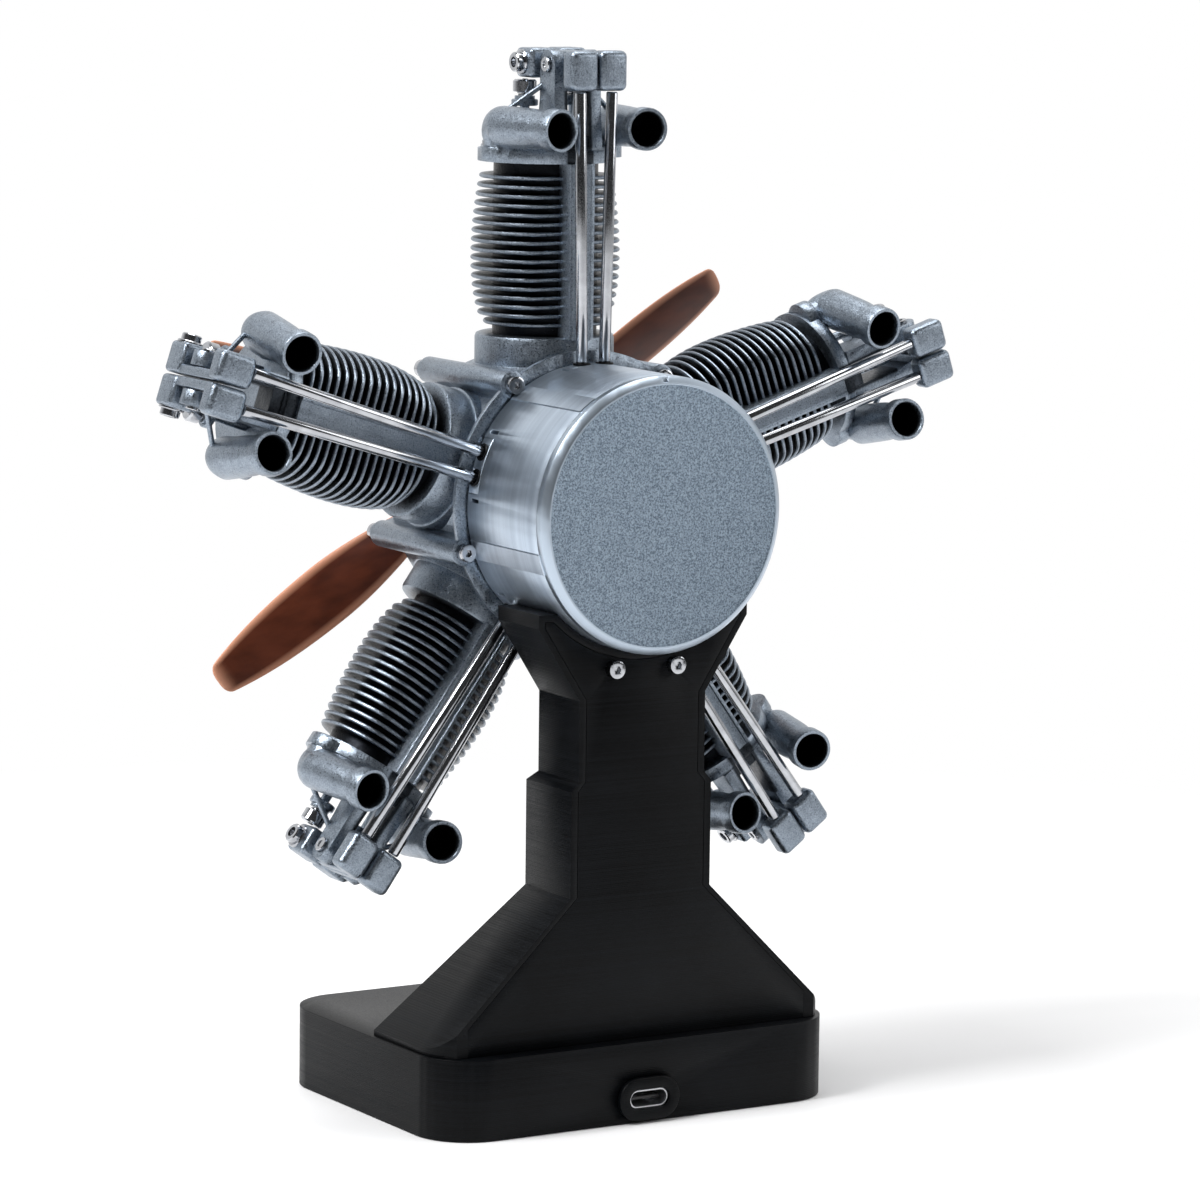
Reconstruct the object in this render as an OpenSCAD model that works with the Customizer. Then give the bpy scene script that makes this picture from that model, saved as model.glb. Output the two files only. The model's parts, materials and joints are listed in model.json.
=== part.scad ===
// Five-cylinder radial engine display model on a black stand, in millimetres.
// The crankshaft lies along Y: the propeller is on the -Y side, the cam drum and the power
// socket on the +Y side. The origin is on the table, below the plane of the cylinders.

/* [Engine layout] */
// Height of the crankshaft axis above the table
axis_h = 131.5; // [128:0.5:140]
// Radius of the pad face that a cylinder stands on
pad_face_r = 28.3; // [27.8:0.1:28.8]
// Height of the smooth collar at the foot of a cylinder
collar_h = 6.5; // [6:0.1:7]
// Radius of the collar
collar_rad = 15.2; // [14.6:0.1:15.6]
// Number of cooling fins
fin_count = 17; // [12:1:18]
// Distance from fin to fin
fin_pitch = 1.98; // [1.92:0.01:2]
// Thickness of a fin
fin_t = 0.7; // [0.6:0.05:0.9]
// Radius of the barrel between the fins
barrel_rad = 11.4; // [10.8:0.1:11.8]
// Radius of the lowest fin
fin_foot_rad = 13.4; // [13:0.1:14]
// Radius of the highest fin
fin_head_rad = 14.5; // [14:0.1:15]
// Extra fin radius in the lower middle of the barrel
fin_bulge = 2.4; // [1.5:0.1:2.8]
// Distance of the flat back of the fins behind the cylinder axis
fin_back_y = 10.8; // [10.4:0.1:11]
// Half width of the strip down the back of a barrel
spine_half_w = 3.1; // [2.6:0.1:3.6]
// Distance of that strip's face behind the cylinder axis
spine_face_y = 15.9; // [15.6:0.1:16.2]

/* [Crank and pistons] */
// Bore radius of a cylinder
bore_rad = 9; // [8.6:0.1:9.4]
// Running clearance of a piston, on the radius
piston_gap = 0.06; // [0.04:0.01:0.08]
// Crank throw, half of the piston stroke
crank_throw = 4; // [3.5:0.1:4.2]
// Radius of the crankpin
crankpin_rad = 2.5; // [2.2:0.1:2.6]
// Radius of the crankshaft journals
journal_rad = 4; // [3.6:0.1:4.4]
// Running clearance of a shaft in its bore, on the radius
shaft_gap = 0.05; // [0.03:0.01:0.08]
// Distance of the knuckle pins from the middle of the hub
knuckle_r = 13.6; // [13.2:0.1:14]
// Length of a link rod between its two pins
rod_len = 40; // [38:0.5:41]
// Height of a piston
piston_h = 12; // [11:0.5:13]

/* [Crankcase and drum] */
// Outer radius of the crankcase
case_rad = 29; // [28.6:0.1:29.4]
// Wall thickness of the crankcase
case_wall = 3.4; // [3:0.1:4]
// Distance of the crankcase front face before the cylinder plane
case_front = 19; // [18.5:0.1:20]
// Distance of the crankcase rear face behind the cylinder plane
case_rear = 18.2; // [17.8:0.1:18.6]
// Radius of the lip round the crankcase rear face
case_lip_rad = 32.4; // [31.8:0.1:32.8]
// Radius of the boss bars between the cylinders
boss_rad = 2.9; // [2.7:0.1:3.1]
// Distance of the boss bars from the crankshaft axis
boss_r = 31.8; // [31.4:0.1:32.2]
// Outer radius of the cam drum
drum_rad = 29.7; // [29.3:0.1:30]
// Wall thickness of the cam drum
drum_wall = 2.2; // [1.8:0.1:2.6]
// Distance of the drum cap face behind the cylinder plane
drum_rear = 50.8; // [50:0.1:52]
// Thickness of the drum cap
cap_t = 3.2; // [2.8:0.1:3.6]
// Chamfer round the drum cap
cap_chamfer = 1.4; // [1:0.1:1.6]

/* [Valve gear] */
// Distance of a pushrod top end from the middle of its head
rod_top_t = 3.93; // [3.8:0.01:4]
// Distance of a pushrod bottom end from the middle of its head
rod_foot_t = 2.83; // [2.75:0.01:3]
// Radius of a pushrod
pushrod_rad = 1.25; // [1.1:0.05:1.35]
// Distance of the underside of a rocker block below the rocker pivot
block_drop = 5.3; // [5:0.1:5.5]
// Height of a rocker above its pivot
rocker_rise = 3.3; // [3:0.1:3.6]
// Width of a rocker
rocker_w = 6.8; // [6.6:0.1:6.9]
// Half of the gap between the two rockers of a head
rocker_split = 0.2; // [0.18:0.01:0.25]
// Distance of the rocker pivot behind the cylinder plane
pivot_y = 10; // [9.7:0.1:10.4]
// Height of the rocker pivot above the pipes
pivot_room = 8.77; // [8.5:0.01:9.2]
// Radius of a rocker pivot screw
pivot_screw_rad = 1; // [0.9:0.05:1.2]
// Radius of a valve stem
stem_rad = 0.6; // [0.5:0.05:0.7]
// Distance of a valve behind the cylinder plane
valve_y = 1; // [0.8:0.1:1.2]

/* [Heads and pipes] */
// Radius of a cylinder head flange
head_rad = 14.9; // [14.6:0.1:15.2]
// Thickness of a cylinder head flange
head_t = 3.4; // [3.2:0.1:3.6]
// Distance of a pipe mouth from the middle of its head
pipe_t = 10.7; // [10.5:0.1:11]
// Distance of a pipe's foot from the middle of its head
pipe_foot_t = 12.4; // [12.2:0.1:12.6]
// Outer radius of a pipe
pipe_rad = 4.65; // [4.4:0.05:4.7]
// Wall thickness of a pipe
pipe_wall = 0.7; // [0.6:0.05:0.9]
// Height of the collar step round a pipe mouth
collar_step = 0.3; // [0.2:0.05:0.4]
// Length of the collar at a pipe mouth
mouth_len = 2.4; // [2:0.1:4]
// Distance of the pipe mouths behind the cylinder plane
pipe_mouth_y = 24.6; // [23.5:0.1:25.5]
// Height of the pipe mouths above the head flange
pipe_rise = 4.4; // [4.3:0.1:4.6]

/* [Propellers] */
// Radius of a propeller
prop_rad = 77.5; // [72:0.5:80]
// Greatest width of a blade
blade_w = 13.4; // [12:0.1:14]
// Thickness of a propeller hub
prop_hub_t = 5; // [4.6:0.1:5.4]
// Radius of a propeller hub
prop_hub_rad = 7; // [6.5:0.1:7.5]
// Angle of the front propeller above the table, seen from behind
front_prop_deg = 33.5; // [20:0.5:45]
// Angle of the rear propeller above the table, seen from behind
rear_prop_deg = 156.5; // [140:0.5:165]

/* [Stand] */
// Width of the base tray
tray_w = 100; // [96:1:106]
// Distance of the tray front before the cylinder plane
tray_front = 27.5; // [26:0.5:32]
// Distance of the tray back behind the cylinder plane
tray_back = 46.8; // [46:0.1:48]
// Height of the base tray
tray_h = 17.5; // [16:0.1:19]
// Radius of the upright corners of the tray
tray_corner = 12.5; // [10:0.5:14]
// Wall thickness of the tray
tray_wall = 2.4; // [2:0.1:3]
// Half width of the stand neck
neck_half_w = 15.7; // [15:0.1:17]
// Half width of the stand below the step
leg_half_w = 17.5; // [17:0.1:19]
// Distance of the stand back face behind the cylinder plane
stand_back = 43; // [42:0.1:44]
// Half width of the power socket plug hole
socket_half_w = 4.47; // [4.4:0.01:4.55]
// Height of the power socket plug hole
socket_h = 3.26; // [3.2:0.01:3.3]

/* [Fasteners] */
// Radius of a socket screw head
screw_head_rad = 1.9; // [1.8:0.05:2]
// Height of a socket screw head
screw_head_h = 2; // [1.8:0.1:2.2]
// Radius of a socket screw shank
screw_rad = 1; // [0.9:0.05:1.1]

/* [Hidden] */

$fn = 64;
eps = 0.01;
seat_gap = 0.3;
cylinder_count = 5;
cylinder_step = 360 / cylinder_count;
case_inner_rad = case_rad - case_wall;
drum_inner_rad = drum_rad - drum_wall;
barrel_foot_r = pad_face_r + collar_h;
fin_foot_r = barrel_foot_r + 2.1;
fin_top_r = fin_foot_r + (fin_count - 1) * fin_pitch + fin_t;
head_under_r = fin_top_r + 2.9;
head_top_r = head_under_r + head_t;
bore_top_r = head_under_r - 1.5;
spigot_rad = barrel_rad - 0.4;
spigot_r = case_inner_rad - 1.2;
boss_proud = 0.25;

// Drum slabs along Y, from the crankcase to the cap
drum_front = case_rear + 0.6;
cam_wall_t = 1.2;
cam_y = drum_front + cam_wall_t + seat_gap;
cam_web_t = 1.6;
cam_len = 6.2;
cam_boss_rad = 8.6;
gear_module = 0.8;
gear_teeth = 18;
pinion_teeth = 12;
ring_teeth = 48;
gear_rad = gear_module * gear_teeth / 2;
pinion_rad = gear_module * pinion_teeth / 2;
ring_rad = gear_module * ring_teeth / 2;
idler_r = 2 * gear_rad;
tooth_gap = 0.12;
cam_rad = 22.4;
lobe_h = 1.1;
pinion_y = cam_y + cam_web_t + seat_gap;
pinion_len = cam_len - cam_web_t - seat_gap;
gear_y = pinion_y + pinion_len + seat_gap;
gear_len = 2.4;
bulkhead_y = gear_y + gear_len + 0.8;
bulkhead_t = 1.6;
motor_y = bulkhead_y + bulkhead_t;
motor_rad = 12;
motor_len = drum_rear - cap_t - motor_y - 0.5;
idler_pin_rad = 1.5;
idler_angle = 36;
mesh_angle = idler_angle - 90;
rotor_shaft_rad = 1.5;
rotor_reach = 6;

// Crank slabs along Y
web_t = 3;
web_rad = crank_throw + crankpin_rad + 2.2;
hub_t = 4;
rod_t = 4;
rod_eye_rad = 2.5;
pin_rad = 1.2;
hub_y = -rod_t / 2 - seat_gap - hub_t;
front_web_y = hub_y - seat_gap - web_t;
rear_web_y = rod_t / 2 + seat_gap + 1;
hub_rad = knuckle_r + 2.8;
nose_len = 3.2;
nose_rad = 13;
prop_gap = 0.4;
rear_prop_y = -case_front - nose_len - prop_gap;
front_prop_y = rear_prop_y - prop_hub_t - prop_gap;
nut_y = front_prop_y - prop_hub_t;
nut_t = 2.6;
shaft_nose_len = 4;
shaft_nose_rad = journal_rad - 0.6;
shaft_front = nut_y - nut_t - shaft_nose_len;

// Valve gear
pipe_top_r = head_top_r + pipe_rise + pipe_rad;
pivot_r = pipe_top_r + pivot_room;
block_under_r = pivot_r - block_drop;
rocker_top_r = pivot_r + rocker_rise;
pushrod_foot_r = drum_rad + 0.6;
cam_tip_r = cam_rad + lobe_h;
tappet_foot_r = cam_tip_r + seat_gap;
rod_foot_y = drum_front + 2;
rocker_rear_y = 22.6;
rocker_front_y = -1.6;
block_len = 4.2;
rod_tip_gap = 0.15;
rod_chamfer = 0.25;
arm_under_r = pivot_r - 3.1;
ear_rad = 3.4;
notch_front_y = pivot_y - ear_rad - 1.3;
notch_rear_y = rocker_rear_y - block_len - 0.6;
post_half_y = 3.1;
post_w = 3.2;
post_t = pipe_t - pipe_rad - 0.25 - post_w;
pipe_foot_y = 2.2;
pipe_splay = atan2(pipe_foot_t - pipe_t, pipe_mouth_y - pipe_foot_y);
guide_rad = stem_rad + 0.45;
valve_t = pipe_foot_t - pipe_rad - guide_rad - 0.6;
valve_pad_r = arm_under_r - seat_gap;
stem_tip = 0.4;
retainer_rad = 2.2;
retainer_t = 1.6;
spring_seat_t = 1;
spring_h = 1.67;
spring_foot_r = valve_pad_r - stem_tip - retainer_t - spring_h;
spring_seat_r = spring_foot_r - spring_seat_t;
valve_travel = 1.35;
stem_foot_r = head_under_r + valve_travel + 2 * seat_gap;

// Stand profile
neck_top_z = 92;
step_top_z = 74.5;
step_low_z = 72.5;
leg_foot_z = 49.5;
ear_z = 111;
ear_half_w = 26;
cradle_gap = 0.1;
neck_front = 26;
leg_front = 24;
foot_front = 14;
foot_rim = 1.2;
foot_inset = 1;
foot_half_w = tray_w / 2 - foot_inset;
back_plate_t = 1.6;
back_plate_inset = 1.6;
stand_screw_x = 7.6;
stand_screw_z = 98.4;
port_z = 5.2;
bezel_proud = 1.5;
bezel_half_w = 7.5;
bezel_h = 9.4;
lid_t = 2.2;
cover_t = 1.5;
socket_shell_t = 0.35;
board_z = port_z - socket_h / 2 - socket_shell_t - 1;
board_len = 20.6;
board_y = tray_back - tray_wall - 1 - board_len;

// Propeller blade sections
blade_steps = 13;
blade_sides = 16;
blade_root_r = 5.4;

steel = "#b9bcc0";
polished = "#d4d6d8";
cast_metal = "#8f9296";
brushed = "#a2a5a9";
black = "#1d1e20";
wood = "#96512c";
brass = "#b5933f";

// Frames for the parts that repeat

module on_axis() {
    translate([0, 0, axis_h]) children();
}

// Local frame of one cylinder: x across the head, y along the crankshaft, z outward
module on_cylinder(i) {
    on_axis() rotate([0, cylinder_step * i, 0]) children();
}

// A round bar along +Y from y with the given length
module bar_y(y, len, rad) {
    translate([0, y, 0]) rotate([-90, 0, 0]) cylinder(h = len, r = rad);
}

// A profile of points [radius, y] turned about the crankshaft axis
module turned_y(points) {
    rotate([-90, 0, 0]) rotate_extrude() polygon(points);
}

module rounded_rect(w, d, r) {
    square([w - 2 * r, d], center = true);
    square([w, d - 2 * r], center = true);
    for (sx = [-1, 1], sy = [-1, 1])
        translate([sx * (w / 2 - r), sy * (d / 2 - r)]) circle(r = r);
}

// A socket screw whose head seat is at the origin, head towards +Z
module socket_screw(shank) {
    difference() {
        union() {
            cylinder(h = screw_head_h, r = screw_head_rad, $fn = 32);
            translate([0, 0, -shank]) cylinder(h = shank + eps, r = screw_rad, $fn = 32);
        }
        translate([0, 0, screw_head_h - 1]) cylinder(h = 1.1, r = screw_head_rad * 0.46, $fn = 6);
    }
}

// Base and stand

module tray_outline(inset) {
    translate([0, (tray_back - tray_front) / 2])
        rounded_rect(tray_w - 2 * inset, tray_back + tray_front - 2 * inset, tray_corner - inset);
}

module base_tray() {
    cover_step = 1.6;
    color(black) difference() {
        linear_extrude(tray_h) tray_outline(0);
        translate([0, 0, -eps]) linear_extrude(tray_h - lid_t) tray_outline(tray_wall);
        translate([0, 0, -eps]) linear_extrude(cover_step + eps) tray_outline(tray_wall - 1);
        translate([0, 0, port_z]) rotate([-90, 0, 0])
            linear_extrude(tray_back + 1) rounded_rect(2 * bezel_half_w - 2, bezel_h - 2, bezel_h / 2 - 1.01);
    }
}

module base_cover() {
    pad_inset = 13;
    color(black) union() {
        linear_extrude(cover_t) tray_outline(tray_wall - 1 + 0.1);
        // Pillars under the power board
        for (sx = [-1, 1], y = [board_y + 3, board_y + board_len - 4])
            translate([sx * 8, y, cover_t - eps]) cylinder(h = board_z - cover_t, r = 2, $fn = 32);
        for (sx = [-1, 1], sy = [-1, 1])
            translate([sx * (tray_w / 2 - pad_inset),
                       (tray_back - tray_front) / 2 + sy * ((tray_back + tray_front) / 2 - pad_inset), cover_t - eps])
                cylinder(h = tray_h - lid_t - cover_t, r = 3.4, $fn = 32);
    }
}

// Outline of the column seen from behind, between the tray and the drum
module column_face(inset) {
    difference() {
        union() {
            translate([-leg_half_w + inset, tray_h]) square([2 * (leg_half_w - inset), step_low_z - tray_h]);
            translate([-neck_half_w + inset, step_low_z - 1])
                square([2 * (neck_half_w - inset), neck_top_z - step_low_z + 2]);
            polygon([
                [-leg_half_w + inset, step_low_z - eps], [leg_half_w - inset, step_low_z - eps],
                [neck_half_w - inset, step_top_z], [-neck_half_w + inset, step_top_z]]);
            // Flare into the tray
            polygon([
                [-foot_half_w + inset, tray_h], [foot_half_w - inset, tray_h],
                [foot_half_w - inset, tray_h + foot_rim], [leg_half_w - inset, leg_foot_z],
                [-leg_half_w + inset, leg_foot_z], [-foot_half_w + inset, tray_h + foot_rim]]);
            // Ears that hold the drum
            polygon([
                [-neck_half_w + inset, neck_top_z - eps], [neck_half_w - inset, neck_top_z - eps],
                [ear_half_w - inset, ear_z - 3], [ear_half_w - inset, ear_z - inset],
                [-ear_half_w + inset, ear_z - inset], [-ear_half_w + inset, ear_z - 3]]);
        }
        translate([0, axis_h]) circle(r = drum_rad + cradle_gap + inset, $fn = 128);
    }
}

// Side profile of the column, y against height
module column_side() {
    polygon([
        [foot_front, tray_h], [stand_back, tray_h], [stand_back, ear_z], [neck_front, ear_z],
        [neck_front, step_top_z], [leg_front, step_low_z], [leg_front, leg_foot_z], [foot_front, tray_h + foot_rim]]);
}

module stand_column() {
    color(black) difference() {
        intersection() {
            translate([0, stand_back, 0]) rotate([90, 0, 0])
                linear_extrude(stand_back) column_face(0);
            rotate([90, 0, 90]) translate([0, 0, -tray_w])
                linear_extrude(2 * tray_w) column_side();
            linear_extrude(axis_h) tray_outline(foot_inset);
        }
        translate([0, stand_back + eps, 0]) rotate([90, 0, 0])
            linear_extrude(back_plate_t + eps) column_face(back_plate_inset);
        for (s = [-1, 1])
            translate([s * stand_screw_x, neck_front - 1, stand_screw_z])
                rotate([-90, 0, 0]) cylinder(h = stand_back, r = screw_rad, $fn = 32);
    }
}

module column_back_plate() {
    plate_gap = 0.15;
    color(black) difference() {
        intersection() {
            translate([0, stand_back, 0]) rotate([90, 0, 0])
                linear_extrude(back_plate_t) column_face(back_plate_inset + plate_gap);
            linear_extrude(axis_h) tray_outline(foot_inset + back_plate_inset);
        }
        for (s = [-1, 1])
            translate([s * stand_screw_x, 0, stand_screw_z])
                rotate([-90, 0, 0]) cylinder(h = stand_back + 1, r = screw_rad, $fn = 32);
    }
}

module port_bezel() {
    bezel_flange = tray_wall + bezel_proud;
    color(black) difference() {
        union() {
            translate([0, tray_back, port_z]) rotate([-90, 0, 0])
                linear_extrude(bezel_proud) rounded_rect(2 * bezel_half_w, bezel_h, bezel_h / 2 - eps);
            translate([0, tray_back - tray_wall, port_z]) rotate([-90, 0, 0])
                linear_extrude(bezel_flange) rounded_rect(2 * bezel_half_w - 2.1, bezel_h - 2.1, bezel_h / 2 - 1.06);
        }
        translate([0, tray_back - tray_wall - 1, port_z]) rotate([-90, 0, 0])
            linear_extrude(bezel_flange + 2)
                rounded_rect(2 * socket_half_w + 0.9, socket_h + 0.9, (socket_h + 0.9) / 2 - eps);
    }
}

module usb_board() {
    shell_len = 7.4;
    shell_wall_t = 0.6;
    tongue_half_w = 0.75 * socket_half_w;
    tongue_len = 5.4;
    tongue_t = 0.7;
    board_w = 22;
    board_t = 1;
    socket_back = tray_back + 0.7;
    color(steel) translate([0, socket_back - shell_len, port_z]) rotate([-90, 0, 0]) difference() {
        linear_extrude(shell_len)
            rounded_rect(2 * (socket_half_w + socket_shell_t), socket_h + 2 * socket_shell_t,
                socket_h / 2 + socket_shell_t - eps);
        translate([0, 0, shell_wall_t]) linear_extrude(shell_len)
            rounded_rect(2 * socket_half_w, socket_h, socket_h / 2 - eps);
    }
    color(black) translate([-tongue_half_w, socket_back - shell_len + shell_wall_t - eps, port_z - tongue_t / 2])
        cube([2 * tongue_half_w, tongue_len, tongue_t]);
    color("#1f4a35") translate([-board_w / 2, board_y, board_z]) cube([board_w, board_len, board_t]);
}

// Crankcase

module crankcase() {
    chamfer = 2.6;
    boss_web = 2 * boss_rad - 1;
    boss_nose = 1.2;
    pad_rad = collar_rad + 0.45;
    pad_cut_rad = pad_rad + 0.8;
    lip_t = 1.1;
    color(cast_metal) on_axis() difference() {
        union() {
            turned_y([
                [0, -case_front], [case_rad - chamfer, -case_front], [case_rad, -case_front + chamfer],
                [case_rad, case_rear - lip_t], [case_lip_rad, case_rear - lip_t], [case_lip_rad, case_rear],
                [0, case_rear]]);
            for (i = [0 : cylinder_count - 1]) {
                rotate([0, cylinder_step * i, 0]) cylinder(h = pad_face_r + 0.5, r = pad_rad);
                rotate([0, cylinder_step * (i + 0.5), 0]) translate([0, 0, boss_r]) {
                    bar_y(-case_front + boss_nose, case_front + case_rear + boss_proud - boss_nose, boss_rad);
                    bar_y(-case_front - boss_proud, boss_nose + boss_proud + eps, boss_rad - 0.6);
                }
                rotate([0, cylinder_step * (i + 0.5), 0])
                    translate([-boss_web / 2, -case_front + boss_nose, case_rad - 3])
                        cube([boss_web, case_front + case_rear - boss_nose - lip_t / 2, boss_r - case_rad + 3]);
            }
        }
        turned_y([
            [0, -case_front + 3.4], [case_inner_rad, -case_front + 3.4], [case_inner_rad, case_rear + eps],
            [0, case_rear + eps]]);
        bar_y(-case_front - 1, 6, journal_rad + shaft_gap);
        for (i = [0 : cylinder_count - 1]) {
            rotate([0, cylinder_step * i, 0]) translate([0, 0, 10])
                cylinder(h = pad_face_r, r = spigot_rad);
            rotate([0, cylinder_step * i, 0]) translate([0, 0, pad_face_r]) cylinder(h = 9, r = pad_cut_rad);
            rotate([0, cylinder_step * (i + 0.5), 0]) translate([0, 0, boss_r])
                bar_y(-case_front - 1, case_front + case_rear + 2, screw_rad);
        }
    }
}

module nose_cover() {
    color(cast_metal) on_axis() difference() {
        turned_y([
            [0, -case_front - nose_len], [nose_rad - 4, -case_front - nose_len],
            [nose_rad, -case_front - nose_len + 1.6], [nose_rad + 5, -case_front - 1.2],
            [nose_rad + 5, -case_front], [0, -case_front]]);
        bar_y(-case_front - nose_len - 1, nose_len + 2, journal_rad + shaft_gap);
    }
}

// Cam drum at the back

module cam_drum() {
    slit_t = 7.6;
    slit_w = 0.8;
    slit_len = 3;
    color(brushed) on_axis() difference() {
        union() {
            turned_y([
                [0, drum_front], [drum_rad, drum_front], [drum_rad, drum_rear - cap_t],
                [0, drum_rear - cap_t]]);
            turned_y([[0, case_rear], [case_inner_rad - 0.1, case_rear],
                [case_inner_rad - 0.1, drum_front + 0.1], [0, drum_front + 0.1]]);
        }
        // Gear room in front of the bulkhead, open round the boss that carries the cam ring
        turned_y([
            [cam_boss_rad, drum_front + cam_wall_t], [drum_inner_rad, drum_front + cam_wall_t],
            [drum_inner_rad, bulkhead_y], [0, bulkhead_y], [0, pinion_y - 0.2], [cam_boss_rad, pinion_y - 0.2]]);
        // Motor room behind the bulkhead
        bar_y(motor_y, drum_rear, drum_inner_rad);
        bar_y(case_rear - 1, 12, journal_rad + shaft_gap);
        bar_y(bulkhead_y - 1, 4, rotor_shaft_rad + 1.2);
        for (i = [0 : cylinder_count - 1]) rotate([0, cylinder_step * i, 0]) {
            guide_space(0);
            for (s = [-1, 1])
                translate([s * slit_t - slit_w / 2, drum_front + 1.6, cam_rad])
                    cube([slit_w, slit_len, drum_rad - cam_rad + 2]);
        }
    }
    // Pin that the idler turns on
    color(steel) on_axis() rotate([0, idler_angle, 0]) translate([0, 0, idler_r])
        bar_y(pinion_y + 0.3, bulkhead_y - pinion_y - 0.3, idler_pin_rad);
}

// The room in the drum wall that one tappet guide fills
module guide_space(gap) {
    half_w = 6.2;
    depth = 4.2;
    translate([-half_w + gap, case_rear - 1, cam_rad])
        cube([2 * (half_w - gap), drum_front + depth - case_rear + 1 - gap, drum_rad - cam_rad + 2]);
}

module tappet_guides() {
    color(brushed) for (i = [0 : cylinder_count - 1]) on_cylinder(i) difference() {
        intersection() {
            guide_space(0.06);
            difference() {
                bar_y(drum_front, 5, drum_rad);
                bar_y(drum_front - 1, 9, drum_inner_rad);
            }
        }
        for (s = [-1, 1]) rod_axis(s) translate([0, 0, -8]) cylinder(h = 14, r = pushrod_rad + shaft_gap, $fn = 32);
    }
}

module drum_cap() {
    dish_rad = drum_rad - 1.8;
    color(cast_metal) on_axis() difference() {
        union() {
            turned_y([
                [0, drum_rear - cap_t], [drum_rad, drum_rear - cap_t], [drum_rad, drum_rear - cap_chamfer],
                [drum_rad - cap_chamfer, drum_rear], [dish_rad, drum_rear], [dish_rad - 0.2, drum_rear - 0.3],
                [0, drum_rear - 0.3]]);
            bar_y(drum_rear - cap_t - 2, 2.1, drum_inner_rad - 0.1);
        }
        bar_y(drum_rear - cap_t - 3, 3, drum_inner_rad - 2);
        translate([-0.6, drum_rear - 1, drum_rad - 1.3]) cube([1.2, 2, 2]);
    }
}

module drive_motor() {
    color(steel) on_axis() difference() {
        union() {
            bar_y(motor_y, motor_len, motor_rad);
            bar_y(motor_y - bulkhead_t, bulkhead_t + eps, rotor_shaft_rad + 1.1);
        }
        bar_y(motor_y - bulkhead_t - 1, rotor_reach + 2, rotor_shaft_rad + shaft_gap);
    }
}

// Cylinders and heads

// Radius of fin k: widest in the lower middle
function fin_rad(k) =
    let (s = k / (fin_count - 1))
    fin_foot_rad + (fin_head_rad - fin_foot_rad) * s + fin_bulge * pow(sin(180 * pow(s, 0.72)), 0.8);

function fin_profile() = [
    for (k = [0 : fin_count - 1])
        let (r0 = fin_foot_r + k * fin_pitch, rad = fin_rad(k))
        each [[barrel_rad, r0], [rad, r0], [rad, r0 + fin_t], [barrel_rad, r0 + fin_t]]];

module cylinders() {
    color(cast_metal) for (i = [0 : cylinder_count - 1]) on_cylinder(i) {
        difference() {
            union() {
                difference() {
                    rotate_extrude() polygon(concat(
                        [[0, spigot_r], [spigot_rad, spigot_r], [spigot_rad, pad_face_r],
                         [collar_rad, pad_face_r], [collar_rad, barrel_foot_r - 0.8],
                         [collar_rad - 0.8, barrel_foot_r], [barrel_rad, barrel_foot_r]],
                        fin_profile(),
                        [[barrel_rad, head_under_r], [0, head_under_r]]));
                    translate([-collar_rad - fin_bulge, fin_back_y, fin_foot_r - 0.2])
                        cube([2 * (collar_rad + fin_bulge), 9, fin_top_r - fin_foot_r + 0.4]);
                }
                translate([-spine_half_w, barrel_rad - 3, barrel_foot_r - 0.5])
                    cube([2 * spine_half_w, spine_face_y - barrel_rad + 3, head_under_r - barrel_foot_r + 0.5]);
            }
            translate([0, 0, spigot_r - 1]) cylinder(h = bore_top_r - spigot_r + 1, r = bore_rad);
        }
    }
}

// One rocker post with a rounded top, in the cylinder frame; side is -1 or 1
module rocker_post(side) {
    x0 = side > 0 ? post_t : -post_t - post_w;
    foot_half_y = post_half_y + 1.4;
    translate([x0, 0, 0]) rotate([90, 0, 90]) linear_extrude(post_w) {
        translate([pivot_y, pivot_r]) circle(r = ear_rad - 0.3, $fn = 48);
        polygon([
            [pivot_y - foot_half_y, head_top_r - eps], [pivot_y - post_half_y, arm_under_r - 4],
            [pivot_y - post_half_y, pivot_r], [pivot_y + post_half_y, pivot_r],
            [pivot_y + post_half_y, arm_under_r - 4], [pivot_y + foot_half_y - 0.6, head_top_r - eps]]);
    }
}

module heads() {
    saddle_r = head_top_r + 2.6;
    head_step = 0.7;
    saddle_front_y = -2.5;
    saddle_rear_y = 13.5;
    color(cast_metal) for (i = [0 : cylinder_count - 1]) on_cylinder(i) difference() {
        union() {
            translate([0, 0, head_under_r]) cylinder(h = head_t - head_step, r = head_rad);
            translate([0, 0, head_under_r]) cylinder(h = head_t, r = head_rad - head_step);
            translate([-post_t - post_w, saddle_front_y, head_top_r - eps])
                cube([2 * (post_t + post_w), saddle_rear_y - saddle_front_y, saddle_r - head_top_r]);
            for (s = [-1, 1]) {
                rocker_post(s);
                translate([s * valve_t, valve_y, head_top_r - eps])
                    cylinder(h = spring_seat_r - head_top_r + 2 * eps, r = guide_rad, $fn = 32);
                translate([s * valve_t, valve_y, spring_seat_r])
                    cylinder(h = spring_seat_t, r = retainer_rad, $fn = 32);
                // Pad under the foot of a pipe
                translate([s * pipe_foot_t, pipe_foot_y, head_under_r + head_step])
                    cylinder(h = head_t - head_step, r = pipe_rad);
            }
        }
        for (s = [-1, 1]) {
            translate([s * valve_t, valve_y, stem_foot_r - valve_travel - seat_gap])
                cylinder(h = valve_pad_r - stem_foot_r, r = stem_rad + shaft_gap, $fn = 32);
            translate([0, pivot_y, pivot_r]) rotate([0, 90 * s, 0]) cylinder(h = 12, r = pivot_screw_rad, $fn = 32);
        }
    }
}

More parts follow.
